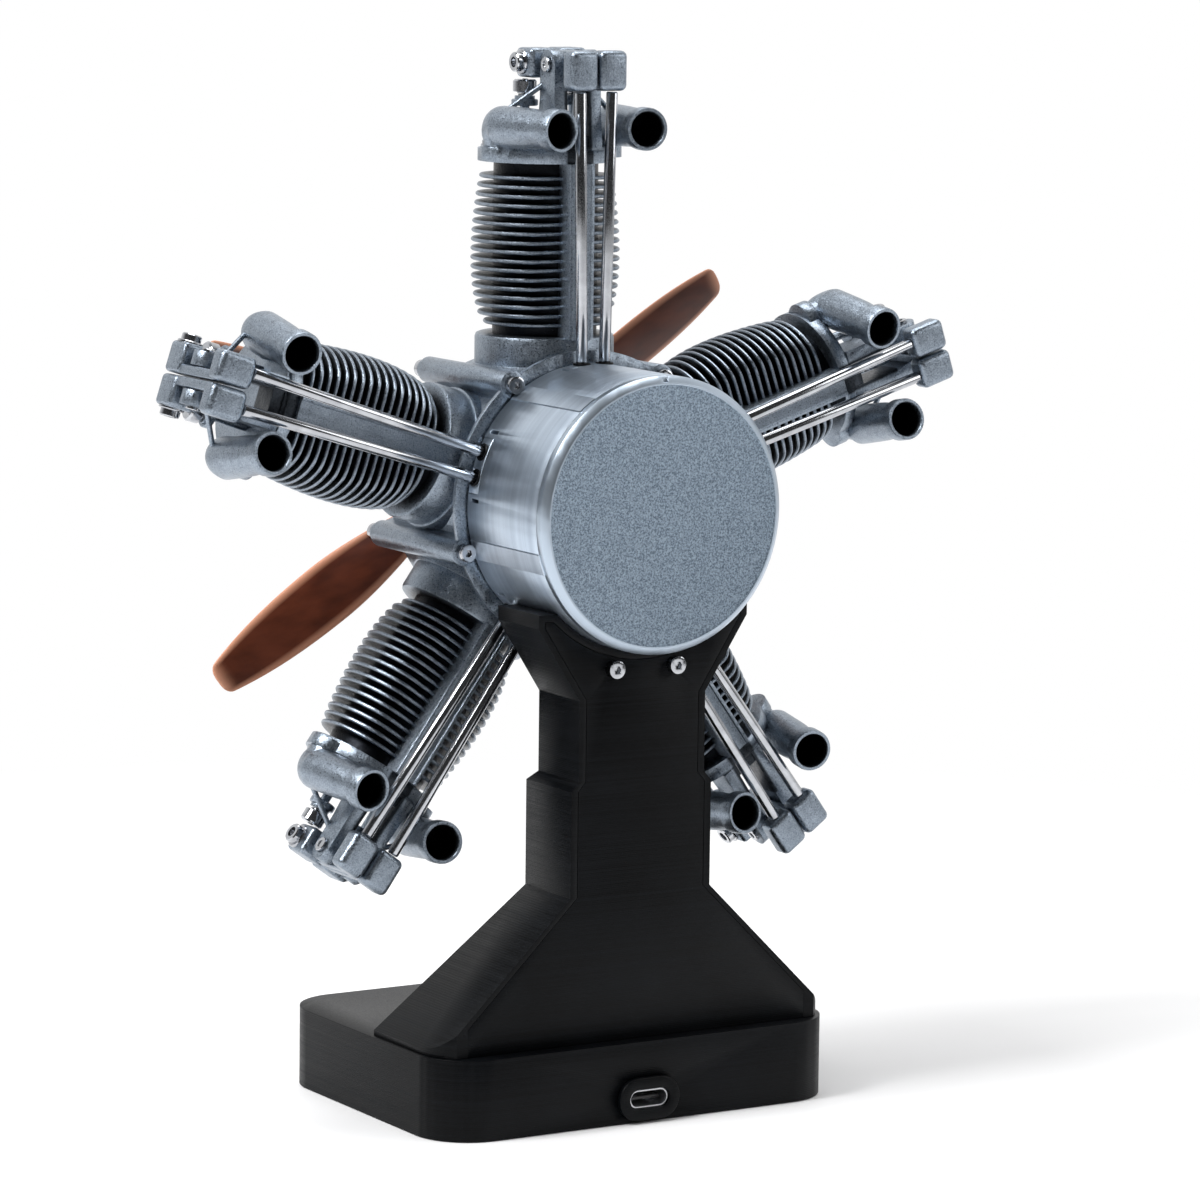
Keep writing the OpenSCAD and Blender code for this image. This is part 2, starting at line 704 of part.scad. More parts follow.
// Elbow pipes: up from the head flange, then back to a mouth that faces +Y
module port_elbows() {
    bend_rad = pipe_rise;
    tube_rad = pipe_rad - collar_step;
    run_len = (pipe_mouth_y - pipe_foot_y) / cos(pipe_splay) - bend_rad;
    color(cast_metal) for (i = [0 : cylinder_count - 1], s = [-1, 1])
        on_cylinder(i) translate([s * pipe_foot_t, pipe_foot_y, head_top_r]) rotate([0, 0, s * pipe_splay])
        difference() {
            union() {
                translate([0, bend_rad, pipe_rise - bend_rad]) rotate([90, 0, -90])
                    rotate_extrude(angle = 90, $fn = 48) translate([bend_rad, 0]) circle(r = tube_rad);
                translate([0, bend_rad - eps, pipe_rise]) bar_y(0, run_len, tube_rad);
                translate([0, bend_rad, pipe_rise]) bar_y(run_len - mouth_len, mouth_len - eps, pipe_rad);
            }
            translate([0, bend_rad, pipe_rise]) bar_y(0, pipe_mouth_y, pipe_rad - pipe_wall - collar_step);
        }
}

// The pivot screw lies across the rocker, head on the outer side
module rocker_screws() {
    seat_x = post_t + post_w + seat_gap;
    inner_x = rocker_split + 0.3;
    color(polished) for (i = [0 : cylinder_count - 1], s = [-1, 1])
        on_cylinder(i) translate([0, pivot_y, pivot_r]) rotate([0, 90 * s, 0])
            translate([0, 0, seat_x]) socket_screw(seat_x - inner_x);
}

module socket_screws() {
    color(polished) {
        for (i = [0 : cylinder_count - 1]) on_axis() rotate([0, cylinder_step * (i + 0.5), 0])
            translate([0, 0, boss_r]) {
                translate([0, case_rear + boss_proud, 0]) rotate([-90, 0, 0]) socket_screw(14);
                translate([0, -case_front - boss_proud, 0]) rotate([90, 0, 0]) socket_screw(14);
            }
        for (s = [-1, 1]) translate([s * stand_screw_x, stand_back, stand_screw_z])
            rotate([-90, 0, 0]) socket_screw(10);
    }
}

// Valve gear

// The frame of a pushrod: foot on the axis of its tappet, z along the rod
module rod_axis(s) {
    translate([s * rod_foot_t, rod_foot_y, pushrod_foot_r])
        rotate([0, s * rod_lean, 0]) children();
}
rod_span = block_under_r - rod_tip_gap - pushrod_foot_r;
rod_lean = atan2(rod_top_t - rod_foot_t, rod_span);

module pushrod(i, s) {
    color(polished) on_cylinder(i) rod_axis(s) {
        translate([0, 0, tappet_foot_r - pushrod_foot_r])
            cylinder(h = rod_span - tappet_foot_r + pushrod_foot_r - rod_chamfer, r = pushrod_rad, $fn = 32);
        translate([0, 0, rod_span - rod_chamfer - eps])
            cylinder(h = rod_chamfer, r1 = pushrod_rad, r2 = pushrod_rad - rod_chamfer, $fn = 32);
    }
}

// Side shape of a rocker, y against distance from the crankshaft axis
module rocker_side() {
    nose = 2.4;
    difference() {
        union() {
            translate([rocker_rear_y - block_len, block_under_r])
                square([block_len, rocker_top_r - block_under_r]);
            translate([rocker_front_y + nose, arm_under_r])
                square([rocker_rear_y - rocker_front_y - nose - 1, rocker_top_r - arm_under_r]);
            translate([rocker_front_y + nose, arm_under_r + nose]) circle(r = nose, $fn = 32);
            translate([rocker_front_y + nose, rocker_top_r - nose]) circle(r = nose, $fn = 32);
            translate([rocker_front_y, arm_under_r + nose])
                square([nose + 1, rocker_top_r - arm_under_r - 2 * nose]);
        }
        translate([notch_front_y, block_under_r - 1])
            square([notch_rear_y - notch_front_y, rocker_top_r - block_under_r + 2]);
    }
}

module rocker(i, s) {
    inner_wall = post_t - rocker_split - 0.3;
    color(cast_metal) on_cylinder(i) mirror([s > 0 ? 0 : 1, 0, 0]) difference() {
        union() {
            translate([rocker_split, 0, 0]) rotate([90, 0, 90]) linear_extrude(rocker_w) rocker_side();
            translate([rocker_split, 0, 0]) rotate([90, 0, 90]) linear_extrude(inner_wall)
                translate([rocker_front_y + 2, arm_under_r])
                    square([rocker_rear_y - rocker_front_y - 4, rocker_top_r - arm_under_r - 0.6]);
        }
        translate([0, pivot_y, pivot_r]) rotate([0, 90, 0])
            cylinder(h = 10, r = pivot_screw_rad + shaft_gap, $fn = 32);
    }
}

module valve(i, s) {
    color(steel) on_cylinder(i) translate([s * valve_t, valve_y, 0]) {
        translate([0, 0, stem_foot_r]) cylinder(h = valve_pad_r - stem_foot_r, r = stem_rad, $fn = 32);
        translate([0, 0, valve_pad_r - stem_tip - retainer_t])
            cylinder(h = retainer_t, r = retainer_rad, $fn = 32);
    }
}

// A coil spring from one swept polyhedron: n turns about Z
module coil_spring(rad, wire, height, turns) {
    per_turn = 8;
    sides = 4;
    steps = turns * per_turn;
    points = [
        for (k = [0 : steps], j = [0 : sides - 1])
            let (a = 360 * k / per_turn, b = 360 * j / sides, d = rad + wire * cos(b))
            [d * cos(a), d * sin(a), wire + (height - 2 * wire) * k / steps + wire * sin(b)]];
    walls = [
        for (k = [0 : steps - 1], j = [0 : sides - 1])
            let (n = (j + 1) % sides, p = k * sides, q = (k + 1) * sides)
            each [[p + j, q + j, q + n], [p + j, q + n, p + n]]];
    first_cap = [for (j = [0 : sides - 1]) j];
    last_cap = [for (j = [sides - 1 : -1 : 0]) steps * sides + j];
    polyhedron(points = points, faces = concat([first_cap], walls, [last_cap]));
}

module valve_springs() {
    color(polished) for (i = [0 : cylinder_count - 1], s = [-1, 1])
        on_cylinder(i) translate([s * valve_t, valve_y, spring_foot_r + 0.05])
            coil_spring(retainer_rad - 0.7, spring_h / 8, spring_h - 0.1, 2);
}

// Crank train

module gear_disc(teeth, y, len, bore) {
    rad = gear_module * teeth / 2;
    half = 90 / teeth;
    translate([0, y, 0]) rotate([-90, 0, 0]) linear_extrude(len) difference() {
        union() {
            circle(r = rad - gear_module * 1.15);
            for (k = [0 : teeth - 1]) rotate(360 * k / teeth) polygon([
                for (p = [[rad - gear_module * 1.25, -half - 2.4], [rad, -half + tooth_gap * 6],
                          [rad + gear_module * 0.85, -half * 0.42], [rad + gear_module * 0.85, half * 0.42],
                          [rad, half - tooth_gap * 6], [rad - gear_module * 1.25, half + 2.4]])
                    [p[0] * cos(p[1]), p[0] * sin(p[1])]]);
        }
        if (bore > 0) circle(r = bore, $fn = 48);
    }
}

module crankshaft() {
    color(steel) on_axis() {
        union() {
            bar_y(shaft_front, shaft_nose_len + 1, shaft_nose_rad);
            bar_y(nut_y - nut_t, front_web_y - nut_y + nut_t + eps, journal_rad);
            bar_y(front_web_y, web_t, web_rad);
            translate([0, 0, crank_throw]) bar_y(front_web_y + 1, rear_web_y - front_web_y, crankpin_rad);
            bar_y(rear_web_y, web_t, web_rad);
            bar_y(rear_web_y + 1, gear_y + gear_len - rear_web_y - 1, journal_rad);
            rotate([0, mesh_angle, 0]) gear_disc(gear_teeth, gear_y, gear_len, 0);
            bar_y(gear_y, motor_y - bulkhead_t + rotor_reach - gear_y, rotor_shaft_rad);
        }
    }
}

module master_hub() {
    color(steel) on_axis() translate([0, 0, crank_throw]) difference() {
        bar_y(hub_y, hub_t, hub_rad);
        bar_y(hub_y - 1, hub_t + 2, crankpin_rad + shaft_gap);
        for (i = [0 : cylinder_count - 1]) rotate([0, cylinder_step * i, 0]) translate([0, 0, knuckle_r])
            bar_y(hub_y - 1, hub_t + 2, pin_rad + 0.2);
        for (i = [0 : cylinder_count - 1]) rotate([0, cylinder_step * (i + 0.5), 0])
            translate([0, 0, knuckle_r * 0.62]) bar_y(hub_y - 1, hub_t + 2, 2.6);
    }
}

// Distance of a wrist pin from the crankshaft axis with the crank up
function wrist_r(i) =
    let (a = cylinder_step * i, side = crank_throw * sin(a))
    crank_throw * cos(a) + knuckle_r + sqrt(rod_len * rod_len - side * side);

module piston(i) {
    pin_from_crown = 6;
    z0 = wrist_r(i);
    eye_z = z0 - rod_len;
    color(brushed) on_cylinder(i) difference() {
        translate([0, 0, z0 + pin_from_crown - piston_h]) cylinder(h = piston_h, r = bore_rad - piston_gap);
        translate([0, 0, z0 + pin_from_crown - piston_h - 1]) cylinder(h = piston_h - 1.6, r = bore_rad - 1.6);
        translate([0, 0, z0]) bar_y(-bore_rad - 1, 2 * bore_rad + 2, pin_rad + shaft_gap);
    }
    color(steel) on_cylinder(i) {
        translate([0, 0, z0]) bar_y(-bore_rad + 0.4, 2 * bore_rad - 0.8, pin_rad);
        difference() {
            union() {
                translate([0, 0, z0]) bar_y(-rod_t / 2, rod_t, rod_eye_rad);
                translate([0, 0, eye_z]) bar_y(-rod_t / 2, rod_t, rod_eye_rad);
                translate([-1.3, -rod_t / 2, eye_z]) cube([2.6, rod_t, rod_len]);
            }
            translate([0, 0, z0]) bar_y(-rod_t, 2 * rod_t, pin_rad + shaft_gap);
            translate([0, 0, eye_z]) bar_y(-rod_t, 2 * rod_t, pin_rad + shaft_gap);
        }
        translate([0, 0, eye_z]) bar_y(-rod_t / 2, rod_t, pin_rad);
    }
}

module idler_gear() {
    color(brass) on_axis() rotate([0, idler_angle, 0]) translate([0, 0, idler_r]) {
        rotate([0, -idler_angle, 0]) difference() {
            union() {
                rotate([0, mesh_angle + 180 + 180 / gear_teeth, 0]) gear_disc(gear_teeth, gear_y, gear_len, 0);
                rotate([0, mesh_angle, 0])
                    gear_disc(pinion_teeth, pinion_y, gear_y - pinion_y + eps, 0);
            }
            bar_y(pinion_y - 1, pinion_len + gear_len + 2, idler_pin_rad + shaft_gap);
        }
    }
}

module cam_ring() {
    half = 90 / ring_teeth;
    root = ring_rad + gear_module * 1.1;
    tip = ring_rad - gear_module * 0.8;
    color(steel) on_axis() difference() {
        union() {
            bar_y(cam_y, cam_len, cam_rad);
            for (a = [0, 180]) rotate([0, a + 18, 0]) intersection() {
                translate([0, 0, lobe_h - 3]) bar_y(cam_y, cam_len - 2, cam_rad + 3);
                bar_y(cam_y, cam_len - 2, cam_tip_r);
                translate([-7, cam_y, 0]) cube([14, cam_len, cam_tip_r]);
            }
        }
        bar_y(cam_y - 1, 4, cam_boss_rad + shaft_gap);
        translate([0, cam_y + cam_web_t, 0]) rotate([-90, 0, 0]) linear_extrude(cam_len) difference() {
            circle(r = root, $fn = 96);
            for (k = [0 : ring_teeth - 1]) rotate(mesh_angle + 360 * (k + 0.5) / ring_teeth) polygon([
                for (p = [[root + 0.3, -half * 1.35], [ring_rad, -half + tooth_gap * 2.4], [tip, -half * 0.42],
                          [tip, half * 0.42], [ring_rad, half - tooth_gap * 2.4], [root + 0.3, half * 1.35]])
                    [p[0] * cos(p[1]), p[0] * sin(p[1])]]);
        }
    }
}

// Propellers

// Chord of a blade at distance s along it, 0 at the root and 1 at the tip
function blade_chord(s) =
    let (rise = sin(90 * min(1, s / 0.55)), fall = s < 0.55 ? 1 : sqrt(1 - pow((s - 0.55) / 0.45, 4) * 0.84))
    (4.6 + (blade_w - 4.6) * pow(rise, 1.5)) * fall;

function blade_twist(s) = 34 - 22 * s;
function blade_thick(s) = 3 - 2 * s;

// One blade along +X with its thickness along Y: a loft of oval sections
module blade() {
    span = prop_rad - blade_root_r;
    points = [
        for (k = [0 : blade_steps], j = [0 : blade_sides - 1])
            let (
                s = k / blade_steps, a = 360 * j / blade_sides, w = blade_twist(s),
                c = blade_chord(s) / 2 * cos(a), h = blade_thick(s) / 2 * sin(a) * (1 + 0.25 * cos(a)))
            [blade_root_r + span * s, h * cos(w) - c * sin(w), c * cos(w) + h * sin(w)]];
    walls = [
        for (k = [0 : blade_steps - 1], j = [0 : blade_sides - 1])
            let (n = (j + 1) % blade_sides, p = k * blade_sides, q = (k + 1) * blade_sides)
            each [[p + j, p + n, q + n], [p + j, q + n, q + j]]];
    first_cap = [for (j = [blade_sides - 1 : -1 : 0]) j];
    last_cap = [for (j = [0 : blade_sides - 1]) blade_steps * blade_sides + j];
    polyhedron(points = points, faces = concat([first_cap], walls, [last_cap]));
}

// A two-blade propeller; angle is counted from -X upwards, as seen from behind
module propeller(angle, y) {
    color(wood) on_axis() rotate([0, angle, 0]) difference() {
        union() {
            bar_y(y - prop_hub_t, prop_hub_t, prop_hub_rad);
            for (s = [0, 180]) rotate([0, s, 0]) translate([0, y - prop_hub_t / 2, 0]) blade();
        }
        bar_y(y - prop_hub_t - 1, prop_hub_t + 2, journal_rad);
    }
}

module rear_propeller() { propeller(rear_prop_deg, rear_prop_y); }
module front_propeller() { propeller(front_prop_deg, front_prop_y); }

module propeller_nut() {
    nut_rad = prop_hub_rad - 1.4;
    flange_rad = prop_hub_rad - 0.8;
    flange_t = 0.7;
    color(steel) on_axis() difference() {
        union() {
            translate([0, nut_y - nut_t, 0]) rotate([-90, 0, 0])
                cylinder(h = nut_t - flange_t + 0.1, r = nut_rad, $fn = 6);
            bar_y(nut_y - flange_t, flange_t, flange_rad);
        }
        bar_y(nut_y - nut_t - 1, nut_t + 2, journal_rad);
    }
}

base_tray();
base_cover();
stand_column();
column_back_plate();
port_bezel();
usb_board();
crankcase();
nose_cover();
cam_drum();
drum_cap();
tappet_guides();
cylinders();
heads();
port_elbows();
rocker_screws();
socket_screws();
drive_motor();
valve_springs();
crankshaft();
master_hub();
idler_gear();
cam_ring();
rear_propeller();
front_propeller();
propeller_nut();
piston(0);  // piston_1
piston(1);  // piston_2
piston(2);  // piston_3
piston(3);  // piston_4
piston(4);  // piston_5
rocker(0, -1);  // rocker_1a
rocker(0, 1);  // rocker_1b
rocker(1, -1);  // rocker_2a
rocker(1, 1);  // rocker_2b
rocker(2, -1);  // rocker_3a
rocker(2, 1);  // rocker_3b
rocker(3, -1);  // rocker_4a
rocker(3, 1);  // rocker_4b
rocker(4, -1);  // rocker_5a
rocker(4, 1);  // rocker_5b
pushrod(0, -1);  // pushrod_1a
pushrod(0, 1);  // pushrod_1b
pushrod(1, -1);  // pushrod_2a
pushrod(1, 1);  // pushrod_2b
pushrod(2, -1);  // pushrod_3a
pushrod(2, 1);  // pushrod_3b
pushrod(3, -1);  // pushrod_4a
pushrod(3, 1);  // pushrod_4b
pushrod(4, -1);  // pushrod_5a
pushrod(4, 1);  // pushrod_5b
valve(0, -1);  // valve_1a
valve(0, 1);  // valve_1b
valve(1, -1);  // valve_2a
valve(1, 1);  // valve_2b
valve(2, -1);  // valve_3a
valve(2, 1);  // valve_3b
valve(3, -1);  // valve_4a
valve(3, 1);  // valve_4b
valve(4, -1);  // valve_5a
valve(4, 1);  // valve_5b
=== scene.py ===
"""Studio picture of a five-cylinder radial engine model on its black stand.

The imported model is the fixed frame: every node keeps its place and gets its finish here. The
cylinders, rockers, pipes, propellers, springs and small trim are rebuilt as finer pieces.
The scene is in metres, and the sizes that the sub-assemblies hold are in millimetres.
"""

import json
import logging
import math
from dataclasses import dataclass, field
from enum import Enum
from typing import Iterable, Iterator, Sequence

import bmesh
import bpy
from mathutils import Matrix, Vector

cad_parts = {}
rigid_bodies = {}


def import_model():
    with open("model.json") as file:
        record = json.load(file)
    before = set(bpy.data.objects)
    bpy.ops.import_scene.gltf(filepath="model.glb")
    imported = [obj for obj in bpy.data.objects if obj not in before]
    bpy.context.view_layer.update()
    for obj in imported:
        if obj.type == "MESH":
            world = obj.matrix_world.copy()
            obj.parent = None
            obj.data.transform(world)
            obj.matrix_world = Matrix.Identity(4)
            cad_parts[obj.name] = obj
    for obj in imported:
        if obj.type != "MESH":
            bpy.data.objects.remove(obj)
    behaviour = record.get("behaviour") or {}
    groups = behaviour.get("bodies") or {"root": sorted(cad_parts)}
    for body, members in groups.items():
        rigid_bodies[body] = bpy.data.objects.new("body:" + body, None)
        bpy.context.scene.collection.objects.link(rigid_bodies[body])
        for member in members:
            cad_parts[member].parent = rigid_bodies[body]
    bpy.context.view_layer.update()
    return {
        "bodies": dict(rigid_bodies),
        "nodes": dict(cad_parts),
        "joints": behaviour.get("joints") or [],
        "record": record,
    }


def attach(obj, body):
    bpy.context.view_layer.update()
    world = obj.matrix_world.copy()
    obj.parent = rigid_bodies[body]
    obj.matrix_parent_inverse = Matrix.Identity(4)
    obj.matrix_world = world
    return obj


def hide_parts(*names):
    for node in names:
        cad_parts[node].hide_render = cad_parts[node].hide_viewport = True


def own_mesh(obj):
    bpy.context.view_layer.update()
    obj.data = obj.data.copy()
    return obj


LOG = logging.getLogger("radial_engine")
MM = 0.001
AXIS_H = 131.5 * MM
CYLINDERS = 5
VALVE_ACROSS = 6.1
VALVE_BEHIND = 1.0
UP = Vector((0, 0, 1))
Colour = tuple[float, float, float]
Scale = tuple[float, float, float]
Profile = tuple[tuple[float, ...], ...]
Socket = bpy.types.NodeSocket
Input = Socket | Sequence[float] | float
Ring = list[bmesh.types.BMVert]


class Slot(Enum):
    """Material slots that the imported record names."""

    STAND = "black_stand"
    BOARD = "circuit_board"
    CAST = "cast_alloy"
    BRUSHED = "brushed_alloy"
    BLASTED = "blasted_alloy"
    POLISHED = "polished_steel"
    MACHINED = "machined_steel"
    BRASS = "brass_gear"
    PROPELLER = "propeller_wood"


class NodeGraph:
    """A node tree with helpers that add and join nodes."""

    def __init__(self, tree: bpy.types.NodeTree) -> None:
        """Keep the tree that the helpers work on.

        Args:
            tree: The tree of a material or world.
        """
        self.tree = tree

    def put(self, value: Input, target: Socket) -> None:
        """Join a socket to an input, or set the input where a constant is given.

        Args:
            value: A socket, number, vector or colour.
            target: The input.
        """
        if isinstance(value, Socket):
            self.tree.links.new(value, target)
        elif target.type == "RGBA":
            target.default_value = (*value, 1.0)
        else:
            target.default_value = value

    def add(self, kind: str, inputs: dict[int | str, Input] | None = None, **settings: str) -> bpy.types.Node:
        """Add one node.

        Args:
            kind: Blender's name for the kind of node.
            inputs: What goes into its inputs, by name or number.
            settings: Properties of the node and their values.

        Returns:
            The new node.
        """
        node = self.tree.nodes.new(kind)
        for key, value in settings.items():
            setattr(node, key, value)
        for key, value in (inputs or {}).items():
            self.put(value, node.inputs[key])
        return node

    def ramp(self, value: Socket, low: float, high: float, from_low: float = 0.0,
             from_high: float = 1.0) -> Socket:
        """Map a value from one range to another, clamped.

        Args:
            value: The value to map.
            low: Result at from_low.
            high: Result at from_high.
            from_low: Start of the range read.
            from_high: End of the range read.

        Returns:
            The socket with the mapped value.
        """
        return self.add("ShaderNodeMapRange", {
            "Value": value, "From Min": from_low, "From Max": from_high, "To Min": low, "To Max": high,
        }).outputs["Result"]

    def math(self, operation: str, first: Socket, second: Socket | float = 0.0) -> Socket:
        """One sum of one or two values.

        Args:
            operation: Blender's name for the operation.
            first: The first value.
            second: The second value, where the operation takes two.

        Returns:
            The socket with the result.
        """
        return self.add("ShaderNodeMath", {0: first, 1: second}, operation=operation).outputs[0]

    def blend(self, factor: Socket, first: Input, second: Input, plain: bool = False) -> Socket:
        """A colour or number between two others.

        Args:
            factor: 0 for the first, 1 for the second.
            first: The first value, or a socket that gives it.
            second: The second value, or a socket that gives it.
            plain: True for numbers, False for colours.

        Returns:
            The socket with the blended value.
        """
        kind, start, out = ("FLOAT", 2, 0) if plain else ("RGBA", 6, 2)
        inputs = {0: factor, start: first, start + 1: second}
        return self.add("ShaderNodeMix", inputs, data_type=kind).outputs[out]


class Surface(NodeGraph):
    """A new material's node tree, which ends in one Principled shader."""

    def __init__(self, name: str) -> None:
        """Make the material and find its shader.

        Args:
            name: Name of the new material.
        """
        self.material = bpy.data.materials.new(name)
        self.material.use_nodes = True
        super().__init__(self.material.node_tree)
        self.shader = self.tree.nodes["Principled BSDF"]
        self.coords = self.add("ShaderNodeTexCoord").outputs["Object"]

    def axes(self) -> tuple[Socket, Socket, Socket]:
        """Object coordinates one by one, as three sockets."""
        parts = self.add("ShaderNodeSeparateXYZ", {0: self.coords}).outputs
        return parts[0], parts[1], parts[2]

    def length(self, first: Socket, second: Socket) -> Socket:
        """Length of a flat vector from its two parts."""
        squares = (self.math("MULTIPLY", part, part) for part in (first, second))
        return self.math("SQRT", self.math("ADD", *squares))

    def noise(self, scale: float | Scale, detail: float = 3.0, roughness: float = 0.55) -> Socket:
        """Fractal noise from 0 to 1.

        Args:
            scale: Cells per metre, the same all round or one number for each axis.
            detail: Number of octaves.
            roughness: Share of the finer octaves.

        Returns:
            The socket with the noise value.
        """
        vector = self.coords
        if not isinstance(scale, float):
            vector = self.add("ShaderNodeVectorMath", {0: vector, 1: scale}, operation="MULTIPLY").outputs[0]
            scale = 1.0
        return self.add("ShaderNodeTexNoise", {
            "Vector": vector, "Scale": scale, "Detail": detail, "Roughness": roughness}).outputs["Fac"]

    def kept(self, name: str) -> Socket:
        """The numbers that a mesh keeps at its points under a name."""
        return self.add("ShaderNodeAttribute", attribute_name=name).outputs["Fac"]

    def relief(self, height: Socket, depth: float, strength: float, below: Socket | None = None) -> Socket:
        """A bumped normal.

        Args:
            height: Height from 0 to 1.
            depth: Real height of the relief in metres.
            strength: Share of the relief that shows.
            below: Normal of a coarser relief that this one lies on.

        Returns:
            The socket with the normal.
        """
        inputs = {"Height": height, "Distance": depth, "Strength": strength}
        if below is not None:
            inputs["Normal"] = below
        return self.add("ShaderNodeBump", inputs).outputs["Normal"]

    def feed(self, **values: Input) -> None:
        """Give the shader sockets or constants.

        Args:
            values: What goes into its inputs, by their names in lower case with underscores.
        """
        for key, value in values.items():
            label = "Base Color" if key == "colour" else key.replace("_", " ").title().replace("Ior", "IOR")
            self.put(value, self.shader.inputs[label])


@dataclass(frozen=True)
class CastFinish:
    """Fine grained cast alloy, slightly mottled, with painted shade in the valleys between the fins and a
    painted shadow between the pushrods below the rockers.
    """

    name: str = "cast_alloy"
    light: Colour = (0.355, 0.41, 0.475)
    dark: Colour = (0.145, 0.172, 0.208)
    # Near-black colour of the painted shade in the fin valleys and of the painted shadow between the
    # pushrods.
    valley_shade: Colour = (0.006, 0.0065, 0.008)
    grain: float = 3000.0
    cloud: float = 210.0
    grain_depth: float = 0.00008
    roughness: float = 0.31
    gap_half_width: float = 0.0031
    gap_fade: float = 0.0005
    gap_out: tuple[float, float] = (0.0722, 0.0879)
    gap_behind: tuple[float, float] = (0.007, 0.0156)
    gap_edge: float = 0.0002

    def gap_shadow(self, graph: Surface) -> Socket:
        """Painted shadow between the pushrods, below the rockers.

        Args:
            graph: The material being built.

        Returns:
            The socket with 1 where the shadow is painted and 0 elsewhere.
        """
        x, y, z = graph.axes()
        rise = graph.math("SUBTRACT", z, AXIS_H)
        angle = graph.math("ARCTAN2", x, rise)
        step = 2 * math.pi / CYLINDERS
        nearest = graph.math("MULTIPLY", graph.math("ROUND", graph.math("DIVIDE", angle, step)), step)
        lean = graph.math("SUBTRACT", angle, nearest)
        reach = graph.length(x, rise)
        out = graph.math("MULTIPLY", reach, graph.math("COSINE", lean))
        side = graph.math("ABSOLUTE", graph.math("MULTIPLY", reach, graph.math("SINE", lean)))
        gap_shadow = graph.ramp(side, 1.0, 0.0, self.gap_half_width, self.gap_half_width + self.gap_fade)
        for value, limits in ((out, self.gap_out), (y, self.gap_behind)):
            for edge, into in zip(limits, (self.gap_edge, -self.gap_edge)):
                gap_shadow = graph.math("MULTIPLY", gap_shadow, graph.ramp(value, 0.0, 1.0, edge - into, edge + into))
        return gap_shadow

    def make(self) -> bpy.types.Material:
        """Build the material and return it."""
        graph = Surface(self.name)
        grain = graph.noise(self.grain, 2.0, 0.6)
        coarse = graph.noise(self.grain / 5)
        cloud = graph.noise(self.cloud)
        tone = graph.math("MULTIPLY", grain, 0.7)
        for layer, share in ((coarse, 0.22), (cloud, 0.05)):
            tone = graph.math("ADD", tone, graph.math("MULTIPLY", layer, share))
        metal = graph.blend(graph.ramp(tone, 0.0, 1.0, 0.33, 0.66), self.dark, self.light)
        # Painted shade: points tagged deep (the fin valleys and the elbow bores) and the painted shadow
        # between the pushrods blend the metal towards the near-black shade colour.
        shade = graph.math("MAXIMUM", graph.kept("deep"), graph.math("MULTIPLY", self.gap_shadow(graph), 0.9))
        below = graph.relief(coarse, self.grain_depth * 2.5, 0.55)
        graph.feed(
            colour=graph.blend(graph.math("MULTIPLY", shade, 0.985), metal, self.valley_shade),
            roughness=graph.ramp(grain, self.roughness - 0.06, self.roughness + 0.16, 0.3, 0.7),
            normal=graph.relief(grain, self.grain_depth, 0.7, below),
            metallic=1.0)
        return graph.material


@dataclass(frozen=True)
class TurnedFinish:
    """Alloy turned on a lathe: fine lines run round the crankshaft axis."""

    name: str = "brushed_alloy"
    light: Colour = (0.55, 0.63, 0.72)
    dark: Colour = (0.39, 0.455, 0.54)
    roughness: float = 0.34
    lines: Scale = (20.0, 7000.0, 20.0)
    bands: Scale = (6.0, 500.0, 6.0)
    spots: float = 2600.0
    line_depth: float = 0.00001
    spot_depth: float = 0.00004

    def make(self) -> bpy.types.Material:
        """Build the material and return it."""
        graph = Surface(self.name)
        lines = graph.noise(self.lines, 2.0, 0.5)
        bands = graph.noise(self.bands, 2.0)
        spots = graph.noise(self.spots, 2.0)
        tone = graph.math("ADD", graph.math("MULTIPLY", lines, 0.6), bands)
        wear = graph.math("ADD", lines, spots)
        graph.feed(
            colour=graph.blend(graph.ramp(tone, 0.0, 1.0, 0.5, 1.1), self.dark, self.light),
            roughness=graph.ramp(wear, self.roughness - 0.05, self.roughness + 0.12, 0.7, 1.3),
            normal=graph.relief(lines, self.line_depth, 0.25, graph.relief(spots, self.spot_depth, 0.4)),
            tangent=graph.add("ShaderNodeTangent", direction_type="RADIAL", axis="Y").outputs[0],
            metallic=1.0, anisotropic=0.3)
        return graph.material


@dataclass(frozen=True)
class BlastedFinish:
    """Sand blasted alloy with a coarse, even grain, inside a smooth pale rim."""

    name: str = "blasted_alloy"
    light: Colour = (0.34, 0.42, 0.50)
    dark: Colour = (0.108, 0.14, 0.182)
    rim_colour: Colour = (0.43, 0.50, 0.58)
    rim_radius: float = 0.0279
    rim_fade: float = 0.0001
    grain: float = 2500.0
    pits: float = 5200.0
    grain_depth: float = 0.00018
    pit_depth: float = 0.00008

    def make(self) -> bpy.types.Material:
        """Build the material and return it."""
        graph = Surface(self.name)
        grain = graph.noise(self.grain, 3.0, 0.7)
        pits = graph.noise(self.pits, 2.0, 0.6)
        x, _, z = graph.axes()
        reach = graph.length(x, graph.math("SUBTRACT", z, AXIS_H))
        face = graph.ramp(reach, 1.0, 0.0, self.rim_radius - self.rim_fade, self.rim_radius + self.rim_fade)
        sand = graph.blend(graph.ramp(grain, 0.0, 1.0, 0.36, 0.64), self.dark, self.light)
        matt = graph.math("MULTIPLY", graph.math("ADD", pits, 0.2), face)
        below = graph.relief(graph.math("MULTIPLY", grain, face), self.grain_depth, 0.7)
        graph.feed(
            colour=graph.blend(graph.ramp(face, 1.0, 0.0), sand, self.rim_colour),
            roughness=graph.ramp(matt, 0.34, 0.6),
            normal=graph.relief(graph.math("MULTIPLY", pits, face), self.pit_depth, 0.6, below),
            metallic=1.0)
        return graph.material


